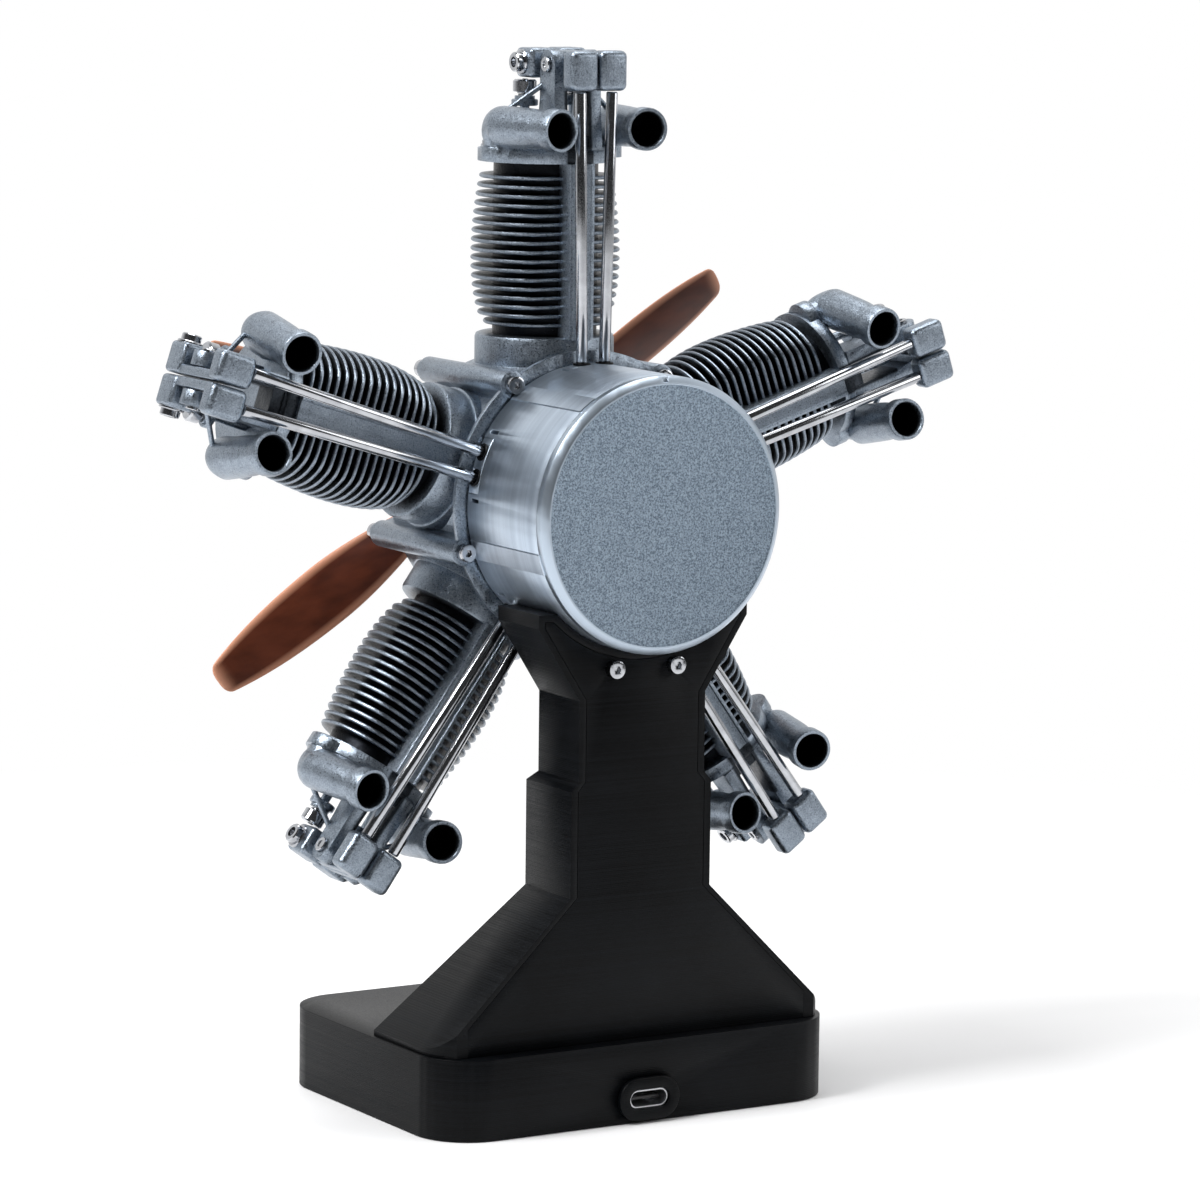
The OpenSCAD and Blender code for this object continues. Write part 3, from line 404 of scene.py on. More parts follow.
@dataclass(frozen=True)
class MetalFinish:
    """Steel or brass, polished or machined, with fine marks."""

    name: str
    light: Colour
    dark: Colour
    roughness: float
    marks: Scale = (3000.0, 3000.0, 3000.0)
    cloud: float = 300.0
    mark_depth: float = 0.00001

    def make(self) -> bpy.types.Material:
        """Build the material and return it."""
        graph = Surface(self.name)
        marks = graph.noise(self.marks, 2.0)
        tone = graph.ramp(graph.noise(self.cloud, 2.0), 0.0, 1.0, 0.3, 0.7)
        graph.feed(
            colour=graph.blend(tone, self.dark, self.light),
            roughness=graph.ramp(marks, self.roughness * 0.7, self.roughness * 1.4, 0.3, 0.7),
            normal=graph.relief(marks, self.mark_depth, 0.3),
            metallic=1.0)
        return graph.material


@dataclass(frozen=True)
class StandFinish:
    """Satin black moulding with fine level lines and faint dust."""

    name: str = "black_stand"
    light: Colour = (0.0034, 0.0042, 0.0055)
    dark: Colour = (0.0008, 0.001, 0.0014)
    line_pitch: float = 0.0004
    rows: Scale = (12.0, 12.0, 2500.0)
    grain: float = 3800.0
    dust: float = 55.0
    depth: float = 0.00003

    def make(self) -> bpy.types.Material:
        """Build the material and return it."""
        graph = Surface(self.name)
        height = graph.axes()[2]
        wave = graph.math("SINE", graph.math("MULTIPLY", height, 2 * math.pi / self.line_pitch))
        rows = graph.noise(self.rows, 2.0)
        grain = graph.noise(self.grain, 2.0)
        tone = graph.ramp(graph.math("ADD", rows, graph.noise(self.dust, 4.0)), 0.0, 1.0, 0.75, 1.3)
        below = graph.relief(grain, self.depth, 0.25)
        graph.feed(
            colour=graph.blend(tone, self.dark, self.light),
            roughness=graph.ramp(graph.math("ADD", rows, grain), 0.34, 0.5, 0.7, 1.3),
            normal=graph.relief(graph.math("MULTIPLY", wave, 0.5), self.depth, 0.5, below),
            specular_ior_level=0.11)
        return graph.material


@dataclass(frozen=True)
class PropellerFinish:
    """Rust brown lacquer over lengthwise grain, with a paler painted highlight along the rim."""

    name: str = "propeller_wood"
    light: Colour = (0.115, 0.026, 0.0095)
    dark: Colour = (0.055, 0.012, 0.0045)
    # Colour of the painted highlight along the blade's edges and tip.
    rim: Colour = (0.66, 0.32, 0.20)
    grain: Scale = (60.0, 500.0, 220.0)
    speck: float = 3000.0
    grain_depth: float = 0.00004
    speck_depth: float = 0.00003

    def make(self) -> bpy.types.Material:
        """Build the material and return it."""
        graph = Surface(self.name)
        grain = graph.noise(self.grain, 4.0, 0.5)
        speck = graph.noise(self.speck, 2.0)
        wood = graph.blend(graph.ramp(grain, 0.0, 1.0, 0.3, 0.72), self.dark, self.light)
        graph.feed(
            # Painted highlight: the rim attribute blends the wood towards the pale rim colour.
            colour=graph.blend(graph.math("MULTIPLY", graph.kept("rim"), 0.85), wood, self.rim),
            roughness=graph.ramp(graph.math("ADD", grain, speck), 0.3, 0.46, 0.7, 1.3),
            normal=graph.relief(speck, self.speck_depth, 0.25, graph.relief(grain, self.grain_depth, 0.3)),
            coat_weight=0.12, coat_roughness=0.22, specular_ior_level=0.3)
        return graph.material


@dataclass(frozen=True)
class BoardFinish:
    """Green board that carries a steel socket shell with a black tongue inside."""

    name: str = "circuit_board"
    board_top: float = 0.00322
    tongue_middle: float = 0.0052
    tongue_half_height: float = 0.00042
    tongue_half_width: float = 0.0036
    tracks: Scale = (900.0, 250.0, 1.0)
    board_dark: Colour = (0.012, 0.06, 0.03)
    board_light: Colour = (0.02, 0.11, 0.055)
    shell_colour: Colour = (0.55, 0.56, 0.58)
    tongue_colour: Colour = (0.01, 0.01, 0.011)

    def make(self) -> bpy.types.Material:
        """Build the material and return it."""
        graph = Surface(self.name)
        tracks = graph.noise(self.tracks, 0.0)
        x, _, z = graph.axes()
        shell = graph.math("GREATER_THAN", z, self.board_top)
        away = graph.math("ABSOLUTE", graph.math("SUBTRACT", z, self.tongue_middle))
        level = graph.math("LESS_THAN", away, self.tongue_half_height)
        inside = graph.math("LESS_THAN", graph.math("ABSOLUTE", x), self.tongue_half_width)
        tongue = graph.math("MULTIPLY", level, inside)
        green = graph.blend(graph.ramp(tracks, 0.0, 1.0, 0.48, 0.52), self.board_dark, self.board_light)
        graph.feed(
            colour=graph.blend(tongue, graph.blend(shell, green, self.shell_colour), self.tongue_colour),
            roughness=graph.ramp(tracks, 0.3, 0.4),
            metallic=graph.math("SUBTRACT", shell, tongue))
        return graph.material


@dataclass
class Studio:
    """White background, pale floor, three soft lights and the camera of the reference view."""

    azimuth: float = 148.738
    elevation: float = 8.005
    roll: float = 0.697
    offset: tuple[float, float, float] = (12.592, -24.024, 1179.808)
    lens: float = 161.58
    diffuse_light: float = 0.42
    floor_size: float = 6.0
    floor_drop: float = 0.2
    floor_fade: tuple[float, float] = (0.12, 0.42)
    floor_colour: Colour = (0.86, 0.86, 0.865)

    def axes(self) -> tuple[Vector, Vector, Vector]:
        """Right, up and back of the camera, as unit vectors in the frame."""
        a, e, r = (math.radians(v) for v in (self.azimuth, self.elevation, self.roll))
        back = Vector((math.sin(a) * math.cos(e), -math.cos(a) * math.cos(e), math.sin(e)))
        level = Vector((math.cos(a), math.sin(a), 0.0))
        rise = back.cross(level)
        right = level * math.cos(r) + rise * math.sin(r)
        up = rise * math.cos(r) - level * math.sin(r)
        return right, up, back

    def camera(self) -> None:
        """Place the camera and make it the scene's own."""
        data = bpy.data.cameras.new("studio_camera")
        data.sensor_width = 36.0
        data.lens = self.lens
        data.clip_start, data.clip_end = 0.05, 20.0
        item = bpy.data.objects.new("studio_camera", data)
        bpy.context.scene.collection.objects.link(item)
        axes = self.axes()
        place = sum((axis * part * MM for axis, part in zip(axes, self.offset)), UP * AXIS_H)
        item.matrix_world = Matrix.Translation(place) @ Matrix(axes).transposed().to_4x4()
        bpy.context.scene.camera = item

    def lamp(self, name: str, place: Sequence[float], size: float, power: float) -> None:
        """Add one square soft light that faces the engine.

        Args:
            name: Name of the light.
            place: Right of, above and back of the engine's middle, in metres, by the camera's axes.
            size: Side of the square in metres.
            power: Light given, in watts.
        """
        right, _, back = self.axes()
        data = bpy.data.lights.new(name, "AREA")
        data.size, data.energy = size, power
        item = bpy.data.objects.new(name, data)
        bpy.context.scene.collection.objects.link(item)
        middle = UP * AXIS_H
        item.location = middle + right * place[0] + UP * place[1] + back * place[2]
        item.rotation_euler = (middle - item.location).to_track_quat("-Z", "Y").to_euler()

    def world(self) -> None:
        """White behind the engine, dimmer on the camera's side, an even grey for diffuse light."""
        world = bpy.data.worlds.new("studio_world")
        bpy.context.scene.world = world
        world.use_nodes = True
        graph = NodeGraph(world.node_tree)
        coords = graph.add("ShaderNodeTexCoord").outputs["Generated"]
        ahead = -self.axes()[2]
        facing = graph.add("ShaderNodeVectorMath", {0: coords, 1: ahead}, operation="DOT_PRODUCT")
        fade = graph.ramp(facing.outputs["Value"], 0.05, 1.0, -0.3, 0.5)
        rays = graph.add("ShaderNodeLightPath").outputs
        seen = graph.math("MAXIMUM", rays["Is Glossy Ray"], rays["Is Transmission Ray"])
        shown = graph.blend(seen, self.diffuse_light, fade, plain=True)
        background = graph.tree.nodes["Background"]
        strength = graph.blend(rays["Is Camera Ray"], shown, 1.0, plain=True)
        graph.put(strength, background.inputs["Strength"])
        graph.put((1.0, 1.0, 1.0), background.inputs["Color"])

    def floor(self) -> None:
        """A wide pale floor that turns to the background's white away from the stand."""
        bpy.ops.mesh.primitive_plane_add(size=self.floor_size, location=(0, 0, -self.floor_drop * MM))
        floor = bpy.context.object
        floor.name = "studio_floor"
        graph = Surface("studio_floor")
        graph.feed(colour=self.floor_colour, roughness=0.6)
        x, y, _ = graph.axes()
        far = graph.ramp(graph.length(x, y), 0.0, 1.0, *self.floor_fade)
        share = graph.math("MULTIPLY", far, graph.add("ShaderNodeLightPath").outputs["Is Camera Ray"])
        glow = graph.add("ShaderNodeEmission").outputs[0]
        mix = graph.add("ShaderNodeMixShader", {0: share, 1: graph.shader.outputs[0], 2: glow})
        graph.put(mix.outputs[0], graph.tree.nodes["Material Output"].inputs["Surface"])
        floor.data.materials.append(graph.material)

    def build(self) -> None:
        """Set up the whole studio."""
        bpy.context.scene.view_settings.view_transform = "Standard"
        self.camera()
        self.world()
        self.floor()
        self.lamp("key_light", (-0.95, 1.2, 0.55), 0.6, 32.0)
        self.lamp("fill_light", (1.2, 0.5, 0.3), 0.7, 4.5)
        self.lamp("top_light", (0.1, 1.35, -0.3), 0.8, 10.0)


class Finishes:
    """One material for each slot of the record."""

    def __init__(self) -> None:
        """Build every finish once."""
        makers = {
            Slot.STAND: StandFinish(),
            Slot.BOARD: BoardFinish(),
            Slot.CAST: CastFinish(),
            Slot.BRUSHED: TurnedFinish(),
            Slot.BLASTED: BlastedFinish(),
            Slot.POLISHED: MetalFinish("polished_steel", (0.50, 0.515, 0.54), (0.38, 0.39, 0.415), 0.14),
            Slot.MACHINED: MetalFinish("machined_steel", (0.55, 0.57, 0.6), (0.42, 0.44, 0.47), 0.28,
                                       (400.0, 6000.0, 400.0)),
            Slot.BRASS: MetalFinish("brass_gear", (0.62, 0.42, 0.14), (0.5, 0.33, 0.1), 0.3),
            Slot.PROPELLER: PropellerFinish(),
        }
        self.by_slot = {slot: maker.make() for slot, maker in makers.items()}

    def __getitem__(self, slot: Slot) -> bpy.types.Material:
        """The material of one slot."""
        return self.by_slot[slot]


def round_angles(sides: int) -> list[float]:
    """Angles in radians of the points of one round ring."""
    return [2 * math.pi * j / sides for j in range(sides)]


class Draft:
    """A mesh under construction: rings, lofts and lathe turns that end up in one object."""

    def __init__(self, name: str, tag: str = "deep") -> None:
        """Start an empty mesh.

        Args:
            name: Name of the object to come.
            tag: Name of the attribute that keeps the points' numbers.
        """
        self.name = name
        self.tag = tag
        self.shape = bmesh.new()
        self.tags: list[tuple[bmesh.types.BMVert, float]] = []

    def ring(self, points: Iterable[Vector], tags: Sequence[float] = ()) -> Ring:
        """Add one ring of points.

        Args:
            points: The points in order, in metres.
            tags: A number for each point, kept as an attribute of the mesh.

        Returns:
            The new vertices.
        """
        made = [self.shape.verts.new(point) for point in points]
        self.tags.extend(zip(made, tags))
        return made

    def hoop(self, place: Matrix, centre: Vector, first: Vector, second: Vector, sides: int,
             tag: Sequence[float] = ()) -> Ring:
        """Add one round ring.

        Args:
            place: Frame that the lengths are given in.
            centre: Middle of the ring in millimetres.
            first: From the middle to the first point, in millimetres.
            second: From the middle to the point a quarter turn on.
            sides: Number of points.
            tag: The number that all its points keep, if any.

        Returns:
            The new vertices.
        """
        return self.ring([place @ ((centre + first * math.cos(a) + second * math.sin(a)) * MM)
                          for a in round_angles(sides)], [*tag] * sides)

    def skin(self, rings: Sequence[Ring], closed: bool = False) -> None:
        """Join rings by quads, and fill both ends.

        Args:
            rings: Rings of equal length.
            closed: True where the last ring joins the first, with no ends to fill.
        """
        for low, high in zip(rings, [*rings[1:], rings[0]] if closed else rings[1:]):
            for j in range(len(low)):
                n = (j + 1) % len(low)
                self.shape.faces.new((low[j], low[n], high[n], high[j]))
        if not closed:
            self.shape.faces.new(list(reversed(rings[0])))
            self.shape.faces.new(rings[-1])

    def turn(self, profile: Sequence[Sequence[float]], place: Matrix, sides: int = 32,
             closed: bool = False) -> None:
        """Turn a profile of radius and height about the local Z axis.

        Args:
            profile: Radius and height in millimetres, with a third number where the point is tagged.
            place: Where the piece sits, in metres.
            sides: Number of steps round the axis.
            closed: True where the profile is a loop, as in a ring.
        """
        self.skin([self.hoop(place, UP * height, Vector((radius, 0, 0)), Vector((0, radius, 0)), sides, tag)
                   for radius, height, *tag in profile], closed)

    def block(self, low: Vector, high: Vector, soft: float, place: Matrix,
              bore: Sequence[float] = ()) -> None:
        """Add a block with rounded edges, with a round hole along X where one is asked for.

        Args:
            low: Lowest corner in millimetres.
            high: Highest corner in millimetres.
            soft: Radius of the edges in millimetres.
            place: Frame of the block.
            bore: Y, Z and radius of the hole.
        """
        steps, rings, holes = 6, [], []
        levels = [(soft * (1 - math.sin(a)), soft * (1 - math.cos(a)))
                  for a in (math.pi / 2 * k / 4 for k in range(5))]
        sections = [(low.x + deep, inset) for inset, deep in levels]
        sections += [(high.x - deep, inset) for inset, deep in reversed(levels)]
        for level, inset in sections:
            points, round_by = [], max(soft - inset, 0.02)
            for corner, (sy, sz) in enumerate(((1, 1), (-1, 1), (-1, -1), (1, -1))):
                cy = (high.y if sy > 0 else low.y) - sy * (inset + round_by)
                cz = (high.z if sz > 0 else low.z) - sz * (inset + round_by)
                for k in range(steps + 1):
                    a = math.pi / 2 * (corner + k / steps)
                    points.append(Vector((level, cy + math.cos(a) * round_by, cz + math.sin(a) * round_by)))
            rings.append(self.ring([place @ (point * MM) for point in points]))
            if bore and level in (sections[0][0], sections[-1][0]):
                y, z, radius = bore
                turns = [math.atan2(point.z - z, point.y - y) for point in points]
                holes.append(self.ring([
                    place @ (Vector((level, y + radius * math.cos(b), z + radius * math.sin(b))) * MM)
                    for b in turns]))
        if bore:
            rings = [holes[0], *rings, holes[1]]
        self.skin(rings, closed=bool(bore))

    def finish(self, finishes: Finishes, slot: Slot, body: str = "root", replaces: Sequence[str] = (),
               smooth: float = 35.0) -> bpy.types.Object:
        """Turn the draft into an object that rides on a body.

        Args:
            finishes: The finishes of all slots.
            slot: Material slot of the record.
            body: Name of the body that carries it.
            replaces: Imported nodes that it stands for.
            smooth: Angle in degrees below which edges are shaded smooth.

        Returns:
            The new object.
        """
        bmesh.ops.recalc_face_normals(self.shape, faces=self.shape.faces)
        mesh = bpy.data.meshes.new(self.name)
        self.shape.verts.index_update()
        numbers = {vert.index: tag for vert, tag in self.tags}
        self.shape.to_mesh(mesh)
        self.shape.free()
        if numbers:
            layer = mesh.attributes.new(self.tag, "FLOAT", "POINT")
            for index, number in numbers.items():
                layer.data[index].value = number
        mesh.materials.append(finishes[slot])
        item = bpy.data.objects.new(self.name, mesh)
        bpy.context.scene.collection.objects.link(item)
        mesh.shade_smooth()
        mesh.set_sharp_from_angle(angle=math.radians(smooth))
        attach(item, body)
        if replaces:
            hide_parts(*replaces)
        LOG.info("built %s on %s", self.name, body)
        return item


def cylinder_place(index: int, across: float = 0.0, behind: float = 0.0, out: float = 0.0) -> Matrix:
    """Frame of one cylinder: x across the head, y along the crankshaft, z outward.

    Args:
        index: Cylinder number from 0, at the top.
        across: Place across the head in millimetres.
        behind: Place behind the cylinder plane in millimetres.
        out: Distance from the crankshaft axis in millimetres.

    Returns:
        The matrix from that frame to the part's own.
    """
    turn = Matrix.Rotation(math.radians(360 / CYLINDERS * index), 4, "Y")
    return Matrix.Translation(UP * AXIS_H) @ turn @ Matrix.Translation(Vector((across, behind, out)) * MM)


def each_valve() -> Iterator[tuple[int, int, str]]:
    """Cylinder number from 0, side of the head and name of each of the ten valves."""
    for index in range(CYLINDERS):
        for side, letter in ((-1, "a"), (1, "b")):
            yield index, side, f"{index + 1}{letter}"


@dataclass
class Assembly:
    """A sub-assembly, with its sizes in millimetres as fields."""

    finishes: Finishes

    def build(self) -> None:
        """Build all pieces of the sub-assembly."""
        raise NotImplementedError


@dataclass
class Propeller(Assembly):
    """A two-blade propeller with leaf shaped, twisted blades and a turned hub."""

    node: str
    hub_rear: float
    angle: float
    radius: float = 76.6
    chord: float = 13.6
    root_chord: float = 4.6
    twist: tuple[float, float] = (34.0, 12.0)
    thickness: tuple[float, float] = (3.0, 1.0)
    root_radius: float = 5.4
    hub_radius: float = 7.0
    hub_depth: float = 5.0
    bore: float = 4.0
    steps: int = 56
    sides: int = 40

    @staticmethod
    def rounded(share: float, start: float, left: float) -> float:
        """What is left of a size near a round end.

        Args:
            share: Place along the blade, 0 at the root and 1 at the tip.
            start: Where the rounding starts.
            left: Share of the size that is left at the tip.

        Returns:
            The factor on the size.
        """
        run = max(0.0, (share - start) / (1 - start))
        return left + (1 - left) * math.sqrt(max(0.0, 1 - run ** 2))

    def width_at(self, share: float) -> float:
        """Width of the blade.

        Args:
            share: Place along the blade, 0 at the root and 1 at the tip.

        Returns:
            The chord in millimetres.
        """
        rise = math.sin(math.pi / 2 * min(1.0, share / 0.55)) ** 1.5
        fall = 1 - 0.5 * max(0.0, (share - 0.5) / 0.5) ** 2.6
        width = self.root_chord + (self.chord - self.root_chord) * rise
        return width * fall * self.rounded(share, 0.975, 0.35)

    def section(self, share: float) -> tuple[list[Vector], list[float]]:
        """One oval section of the blade.

        Args:
            share: Place along the blade, 0 at the root and 1 at the tip.

        Returns:
            The points of the section in millimetres, and the share of painted highlight that each gets near
            the blade's rim and tip.
        """
        twist, thick = (start + (end - start) * share for start, end in (self.twist, self.thickness))
        turn = Matrix.Rotation(math.radians(twist), 3, "X")
        thick, chord = thick * self.rounded(share, 0.97, 0.3), self.width_at(share)
        reach = self.root_radius + (self.radius - self.root_radius) * share
        points, highlights = [], []
        for a in round_angles(self.sides):
            c = chord / 2 * math.cos(a)
            bulge = math.copysign(abs(math.sin(a)) ** 0.85, math.sin(a))
            h = thick / 2 * bulge * (1 + 0.25 * math.cos(a))
            points.append(turn @ Vector((reach, h, c)))
            # Painted highlight along the leading and trailing edges, and over the tip.
            edge = max(0.0, (abs(math.cos(a)) - 0.76) / 0.24) ** 0.6
            highlights.append(max(edge, max(0.0, (share - 0.95) / 0.05) ** 1.5))
        return points, highlights

    def build(self) -> None:
        """Build the blades and the hub."""
        draft = Draft(f"{self.node}_blades", "rim")
        middle = Matrix.Translation((0, (self.hub_rear - self.hub_depth / 2) * MM, AXIS_H))
        for side in (0.0, math.pi):
            place = middle @ Matrix.Rotation(math.radians(self.angle) + side, 4, "Y")
            rings = []
            for k in range(self.steps + 1):
                points, highlights = self.section(1 - (1 - k / self.steps) ** 1.5)
                rings.append(draft.ring([place @ (point * MM) for point in points], highlights))
            draft.skin(rings)
        axis = Matrix.Translation((0, self.hub_rear * MM, AXIS_H)) @ Matrix.Rotation(math.pi / 2, 4, "X")
        r, d = self.hub_radius, self.hub_depth
        half = [(self.bore, 0), (r - 2.2, 0), (r - 2.0, 0.35), (r - 1.6, 0.35), (r - 1.4, 0), (r - 0.5, 0),
                (r, 0.5)]
        whole = half + [(radius, d - height) for radius, height in reversed(half)]
        draft.turn(whole, axis, 64, closed=True)
        draft.finish(self.finishes, Slot.PROPELLER, "crank", [self.node])


@dataclass
class FinnedCylinders(Assembly):
    """The five cylinders: turned barrels with their bores, fine round-edged fins and the rear strips."""

    spigot_from: float = 24.4
    pad_face: float = 28.3
    collar_top: float = 34.8
    head_under: float = 72.18
    bore_top: float = 70.68
    spigot_radius: float = 11.0
    collar_radius: float = 15.2
    barrel_radius: float = 11.4
    bore_radius: float = 9.0
    fin_count: int = 17
    fin_from: float = 36.85
    fin_pitch: float = 1.98
    fin_thickness: float = 0.8
    fin_edge: float = 0.24
    fin_sides: int = 144
    foot_radius: float = 13.4
    head_radius: float = 14.5
    bulge: float = 2.4
    flat_back: float = 12.3
    corner: float = 0.7
    strip_half_width: float = 3.1
    strip_face: float = 15.9
    strip_depth: float = 6.7
    strip_edge: float = 0.5

    def fin_radius(self, number: int) -> float:
        """Outer radius of one fin.

        Args:
            number: Number of the fin from 0, counted from the crankcase.

        Returns:
            The radius in millimetres.
        """
        share = number / (self.fin_count - 1)
        swell = math.sin(math.pi * share ** 0.72) ** 0.8 if 0 < share < 1 else 0.0
        return self.foot_radius + (self.head_radius - self.foot_radius) * share + self.bulge * swell

    def reach(self, radius: float, angle: float) -> float:
        """Distance of a fin's edge from the cylinder axis: round, with a flat back and soft corners.

        Args:
            radius: Radius of the round part in millimetres.
            angle: Angle from the rear side.

        Returns:
            The distance in millimetres.
        """
        if math.cos(angle) < 0.2:
            return radius
        flat = self.flat_back / math.cos(angle)
        low = min(radius, flat)
        return low - self.corner * math.log(math.exp((low - radius) / self.corner)
                                            + math.exp((low - flat) / self.corner))

    def fins(self, draft: Draft, place: Matrix) -> None:
        """Add the fins of one cylinder, with painted shade towards the barrel.

        Args:
            draft: The mesh under construction.
            place: Frame of the cylinder.
        """
        inner, edge = self.barrel_radius - 0.2, self.fin_edge
        for number in range(self.fin_count):
            radius, low = self.fin_radius(number), self.fin_from + number * self.fin_pitch
            high = low + self.fin_thickness
            # Third number of each layer: painted shade kept in the deep attribute, full at the barrel and
            # none on the fin's edge.
            layers = ((None, low, 1.0), (1.3, low, 0.97), (edge, low, 0.35), (0.0, low + edge, 0.0),
                      (0.0, high - edge, 0.0), (edge, high, 0.3), (1.3, high, 0.95), (None, high, 1.0))
            rings = []
            for inset, level, deep in layers:
                points = []
                for a in round_angles(self.fin_sides):
                    r = inner if inset is None else self.reach(radius, a) - inset
                    points.append(place @ (Vector((r * math.sin(a), r * math.cos(a), level)) * MM))
                rings.append(draft.ring(points, [deep] * self.fin_sides))
            draft.skin(rings, closed=True)

    def strip(self, draft: Draft, place: Matrix) -> None:
        """Add the strip down the back of one cylinder, with its edges taken off.

        Args:
            draft: The mesh under construction.
            place: Frame of the cylinder.
        """
        w, y, soft = self.strip_half_width, self.strip_face, self.strip_edge
        half = [(w, y - self.strip_depth), (w, y - soft), (w - 0.15, y - 0.15), (w - soft, y), (w - 0.9, y),
                (w - 1.1, y - 0.25)]
        outline = half + [(-across, behind) for across, behind in reversed(half)]
        draft.skin([draft.ring([place @ (Vector((*point, level)) * MM) for point in outline])
                    for level in (self.collar_top - 0.5, self.head_under)])

    def build(self) -> None:
        """Build barrels, fins and strips."""
        barrels, fins, strips = (Draft(name) for name in ("cylinder_barrels", "cooling_fins", "rear_strips"))
        # The third numbers tag painted shade on the barrel between the fins, kept in the deep attribute.
        profile = [
            (self.bore_radius, self.spigot_from), (self.spigot_radius, self.spigot_from),
            (self.spigot_radius, self.pad_face), (self.collar_radius, self.pad_face),
            (self.collar_radius, self.collar_top - 0.9), (self.collar_radius - 0.25, self.collar_top - 0.25),
            (self.collar_radius - 0.9, self.collar_top, 0.2), (self.barrel_radius, self.collar_top, 1.0),
            (self.barrel_radius, self.head_under, 1.0), (0.05, self.head_under), (0.05, self.bore_top),
            (self.bore_radius, self.bore_top)]
        for place in (cylinder_place(index) for index in range(CYLINDERS)):
            barrels.turn(profile, place, 96, closed=True)
            self.fins(fins, place)
            self.strip(strips, place)
        for draft in (barrels, fins, strips):
            draft.finish(self.finishes, Slot.CAST, replaces=["cylinders"])


@dataclass
class ValveSprings(Assembly):
    """Ten round-wire springs between the valve guides and the retainers."""

    foot: float = 86.38
    height: float = 1.55
    pressed: float = 0.14
    coil: float = 1.5
    wire: float = 0.2
    turns: float = 2.5
    turn_steps: int = 20
    sides: int = 10

    def build(self) -> None:
        """Build the springs, each with a mesh of its own."""
        steps = int(self.turns * self.turn_steps)
        for index, side, name in each_valve():
            place = cylinder_place(index, side * VALVE_ACROSS, VALVE_BEHIND, self.foot)
            draft = Draft(f"valve_spring_{name}")
            rings = []
            for k in range(steps + 1):
                a = 2 * math.pi * k / self.turn_steps
                away = Vector((math.cos(a), math.sin(a), 0))
                rise = self.wire + (self.height - 2 * self.wire) * k / steps
                centre = away * self.coil + UP * rise
                rings.append(draft.hoop(place, centre, away * self.wire, UP * self.wire, self.sides))
            draft.skin(rings)
            spring = draft.finish(self.finishes, Slot.POLISHED, replaces=["valve_springs"], smooth=80.0)
            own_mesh(spring)


@dataclass
class HeadTrim(Assembly):
    """Small bolts on each head flange, clamp screws on the rockers and braces to the pipes."""

    head_top: float = 75.58
    bolt_circle: float = 13.2
    bolt_angles: Sequence[float] = (14.0, 70.0, 110.0, 166.0)
    bolt_profile: Profile = ((1.25, 0), (1.25, 0.95), (1.1, 1.15), (0.62, 1.15), (0.6, 0.5), (0.02, 0.45))
    clamp_place: tuple[float, float, float] = (7.0, 1.0, 93.6)
    clamp_profile: Profile = ((2.75, -0.1), (2.75, 0.3), (2.55, 0.5), (2.15, 0.55), (2.15, 1.75), (1.9, 2.0),
                              (1.15, 2.0), (1.05, 0.9), (0.02, 0.8))
    brace_radius: float = 0.6
    brace_path: Profile = ((5.2, 7.3, 89.0), (9.1, 5.9, 86.1), (13.0, 4.5, 83.2))
    brace_sides: int = 12

    def braces(self) -> None:
        """Build the thin straight brace from each rocker post to the top of its pipe."""
        draft = Draft("pipe_braces")
        for index, side, _ in each_valve():
            points = [Vector((side * x, y, z)) for x, y, z in self.brace_path]
            turn = (points[-1] - points[0]).to_track_quat("Z", "Y").to_matrix() * self.brace_radius
            draft.skin([draft.hoop(cylinder_place(index), point, turn.col[0], turn.col[1], self.brace_sides)
                        for point in points])
        draft.finish(self.finishes, Slot.CAST)

    def build(self) -> None:
        """Build the braces, the clamp screws and the bolts."""
        self.braces()
        across, behind, out = self.clamp_place
        for index, side, name in each_valve():
            screw = Draft(f"clamp_screw_{name}")
            place = cylinder_place(index, side * across, behind, out)
            screw.turn(self.clamp_profile, place @ Matrix.Rotation(side * math.pi / 2, 4, "Y"))
            screw.finish(self.finishes, Slot.POLISHED, f"rocker_{name}")
        bolts = Draft("head_flange_bolts")
        for index in range(CYLINDERS):
            for a in (math.radians(angle) for angle in self.bolt_angles):
                x, y = self.bolt_circle * math.cos(a), -self.bolt_circle * math.sin(a)
                bolts.turn(self.bolt_profile, cylinder_place(index, x, y, self.head_top), 24)
        bolts.finish(self.finishes, Slot.POLISHED)


